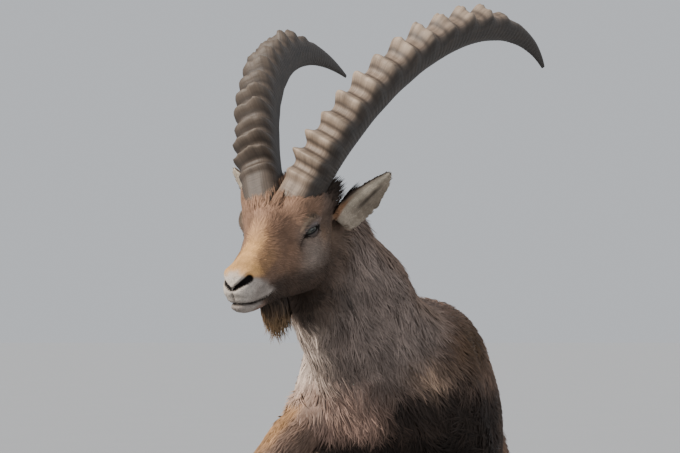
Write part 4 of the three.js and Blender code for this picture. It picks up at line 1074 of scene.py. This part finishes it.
# Horns: a sheath of horn over the bone core, grown year by year. The squarish front carries bold
# knobs that are highest at its inner edge, the sides are smoother and finely ringed.
HORN_LENGTH = 0.695
HORN_DEPTH = 0.078
HORN_WIDTH = 0.060
KNOBS = 13
KNOB_FIRST, KNOB_GROWTH = 0.0404, 0.0016  # knob n stands at first * n + growth * n * n along the horn
HORN_TURN = math.radians(8.9)
HORN_SUNK = 0.105  # the root, as a share of the length
HORN_RINGS = 560
HORN_SIDES = 44
HORNS = {"left": (1, math.radians(24.7), 1.76, math.radians(22.4), HORN_LENGTH, 0.36),
         "right": (-1, math.radians(36.8), 1.385, math.radians(21.8), 0.9 * HORN_LENGTH, 0.22)}
horn_finish = Finish("horn_finish", Roughness=0.6)
along_horn = horn_finish.add("ShaderNodeUVMap", {"uv_map": "along"})
fibres = horn_finish.noise(horn_finish.stretched(along_horn, (34, 2.5, 1)), 1.0, 5.0, 0.6)
patches = horn_finish.noise(horn_finish.stretched(along_horn, (7, 16, 1)), 1.0, 4.0, 0.6)
rings_noise = horn_finish.noise(horn_finish.stretched(along_horn, (1.6, 90, 1)), 1.0, 5.0, 0.65)
lit_front_share = horn_finish.attribute("front", "Fac")
knob_share = horn_finish.attribute("knob", "Fac")
reach_share = horn_finish.attribute("reach", "Fac")
# Paler front and darker sides: the horn's own colour, with painted light on the front and painted shade on
# the sides.
horn_side_shaded = horn_finish.mixed(fibres.above(0.25, 0.75), paint("231d19"), paint("372f28"))
horn_front_lit = horn_finish.mixed(fibres.above(0.25, 0.75), paint("6b5b4d"), paint("94806f"))
horn_front_lit = horn_finish.mixed(knob_share * 0.7, horn_front_lit, paint("b09b86"))
horn_color = horn_finish.mixed(lit_front_share, horn_side_shaded, horn_front_lit)
horn_color = horn_finish.mixed(patches.above(0.42, 0.72) * 0.55, horn_color, paint("463a30"))
horn_color = horn_finish.mixed(reach_share.above(0.62, 0.95) * 0.75, horn_color, paint("2e2722"))
horn_color = horn_finish.mixed(horn_finish.attribute("groove", "Fac") * 0.75, horn_color, paint("332a23"))
horn_finish.feed("Base Color", horn_color)
horn_finish.bump(fibres * 0.25 + rings_noise, 0.0016, 0.8)


def horn_angle(start, turn, t):
    """How far a horn has turned back from the upright at each share of its length."""
    return start + turn * t + 0.13 * t * t


def horn_path(start, turn, length, t):
    """Its middle line seen square on, back and up from its foot, summed over many short steps."""
    fine = np.linspace(0, 1, 4000) * (1 - t[0]) + t[0]
    bend = horn_angle(start, turn, fine)
    run = np.stack((-np.sin(bend), np.cos(bend)), 1)
    path = np.concatenate(([[0, 0]], np.cumsum((run[1:] + run[:-1]) / 2, 0) * (fine[1] - fine[0]) * length))
    return np.stack([np.interp(t, fine, path[:, i]) - np.interp(0, fine, path[:, i]) for i in range(2)], 1)


def horn(side, start, turn, lean, length, slim, rings, sides):
    """A sheath from its sunk root to its tip: rings round a curved middle line, pushed out into knobs
    on the front, with the coordinates and shares that the finish reads."""
    t = np.linspace(-HORN_SUNK, 1, rings)
    angle = horn_angle(start, turn, t)
    flat = horn_path(start, turn, length, t)
    n = (-KNOB_FIRST + np.sqrt(KNOB_FIRST ** 2 + 4 * KNOB_GROWTH * t)) / (2 * KNOB_GROWTH)
    taper = np.maximum(1 - slim * t - (0.92 - slim) * np.maximum(t, 0) ** 2.8, 0.07)
    gap = n - np.round(n)
    strong = step(n, -0.8, 0.6) * (1 - step(n, KNOBS - 2.6, KNOBS + 0.4))
    third = 0.8 - 0.2 * np.cos(2 * math.pi * n / 3) * (1 - t)
    ridge = np.exp(-np.abs(gap / np.where(gap > 0, 0.19, 0.25)) ** 2)
    knob = strong * third * ridge * (0.021 + 0.010 * t * (1 - t) - 0.008 * t)
    groove = strong * step(np.abs(gap), 0.22, 0.42)
    q = 2 * math.pi * np.arange(sides) / sides
    c, s = np.cos(q), np.sin(q)
    square = (np.abs(c) ** 3.1 + np.abs(s) ** 3.1) ** (-1 / 3.1)
    front = step(c, -0.5, 0.5)
    bulk = (1 - front) + square * front
    inner = step(side * s, -0.7, 0.7)
    small = np.stack((np.repeat(t * 9, sides), np.tile(c, rings), np.tile(s, rings)), 1)
    small = ripples(small, 0.5, 7).reshape(rings, sides)
    growth = (0.00035 * np.sin(2 * math.pi * n * 5) * step(1 - t, 0.03, 0.2))[:, None] * (1 - 0.5 * front)
    height = knob[:, None] * (0.72 + 0.33 * inner) - 0.002 * groove[:, None]
    height = height * step(c, 0.05, 0.66) * (1 + 0.16 * small)
    flare = 1 + 6 * knob[:, None] * step(c, 0, 0.6)
    deep = (HORN_DEPTH / 2 * taper)[:, None] * c * bulk + height + growth * c
    deep += 0.0006 * small * taper[:, None]
    wide = -side * (HORN_WIDTH / 2 * taper)[:, None] * s * bulk * (0.86 + 0.14 * front) * flare + growth * s

    def outward_of(v):
        v = np.array(Matrix.Rotation(-HORN_TURN, 3, "Z") @ Matrix.Rotation(-lean, 3, "X") @ Vector(v))
        return v * (1, side, 1)

    x_way, y_way, z_way = outward_of((1, 0, 0)), outward_of((0, 1, 0)), outward_of((0, 0, 1))
    middle = flat[:, :1] * x_way + (0.009 * t * np.abs(t))[:, None] * y_way + flat[:, 1:] * z_way
    middle += mirrored(HORN_AT, side)
    rise = np.cos(angle)[:, None] * x_way + np.sin(angle)[:, None] * z_way
    points = middle[:, None] + wide[..., None] * y_way + deep[..., None] * rise[:, None]
    points[..., 1] = np.where(side * points[..., 1] < 0.0004, side * 0.0004, points[..., 1])
    ends = [tuple(range(sides)), tuple(range((rings - 1) * sides, rings * sides))]
    mesh = tube("horn", points.reshape(-1, 3) @ HEAD_AXES + HEAD_AT, rings, sides, ends)
    around = np.abs(np.arange(sides) / sides * 2 - 1)
    uv = np.stack((np.tile(around, rings), np.repeat(t * length / 0.7, sides)), 1)
    order = read(mesh.loops, "vertex_index", 1, np.int32)[:, 0]
    write(mesh.uv_layers.new(name="along").data, "uv", uv[order])
    # Painted light: the lit share of the front. The right horn stands in shade and gets only a quarter of
    # it.
    lit = step(c + 0.25 * side * s, 0.35, 0.85)[None] * np.full((rings, 1), 1 if side > 0 else 0.25)
    colored(mesh, "front", (lit * (1 - 0.5 * step(t, 0.6, 0.95)[:, None])).ravel())
    colored(mesh, "knob", ((knob / 0.02)[:, None] * step(c, 0.1, 0.6)).ravel())
    colored(mesh, "groove", ((strong * bell(np.abs(gap) - 0.3, 0.07))[:, None] * step(c, 0.0, 0.5)).ravel())
    colored(mesh, "reach", np.repeat(np.clip(t, 0, 1), sides))
    return mesh


for name, sizes in HORNS.items():
    shown(f"horn_sheath_{name}", horn(*sizes, HORN_RINGS, HORN_SIDES), horn_finish, "horn", f"horn_{name}")


# Hooves: two claws of dark horn on each foot with two small ones behind them. Each is smoothed from
# its solid and shows the fine rings that it grows in.
HOOF_VOXEL = 0.0017
hoof_finish = Finish("hoof_finish", Roughness=0.5)
hoof_rings = hoof_finish.noise(hoof_finish.stretched(hoof_finish.place(), (1, 1, 9)), 60.0, 3.0)
hoof_finish.feed("Base Color", hoof_finish.mixed(hoof_rings, paint("1d1815"), paint("4a3f36")))
hoof_finish.bump(hoof_rings, 0.0006, 0.8)
for leg in ("fore_left", "fore_right", "hind_left", "hind_right"):
    claws = [f"{leg}_{kind}_{place}" for kind in ("hoof", "dewclaw") for place in ("outer", "inner")]
    claw_meshes = [soft_solid(claw, [claw], HOOF_VOXEL) for claw in claws]
    for mesh in claw_meshes:
        moved(mesh, eased(mesh, places(mesh), 5, 0.5, 0.5))
    shown(f"{leg}_claws", joined(f"{leg}_claws", claw_meshes), hoof_finish, "hoof", *claws)
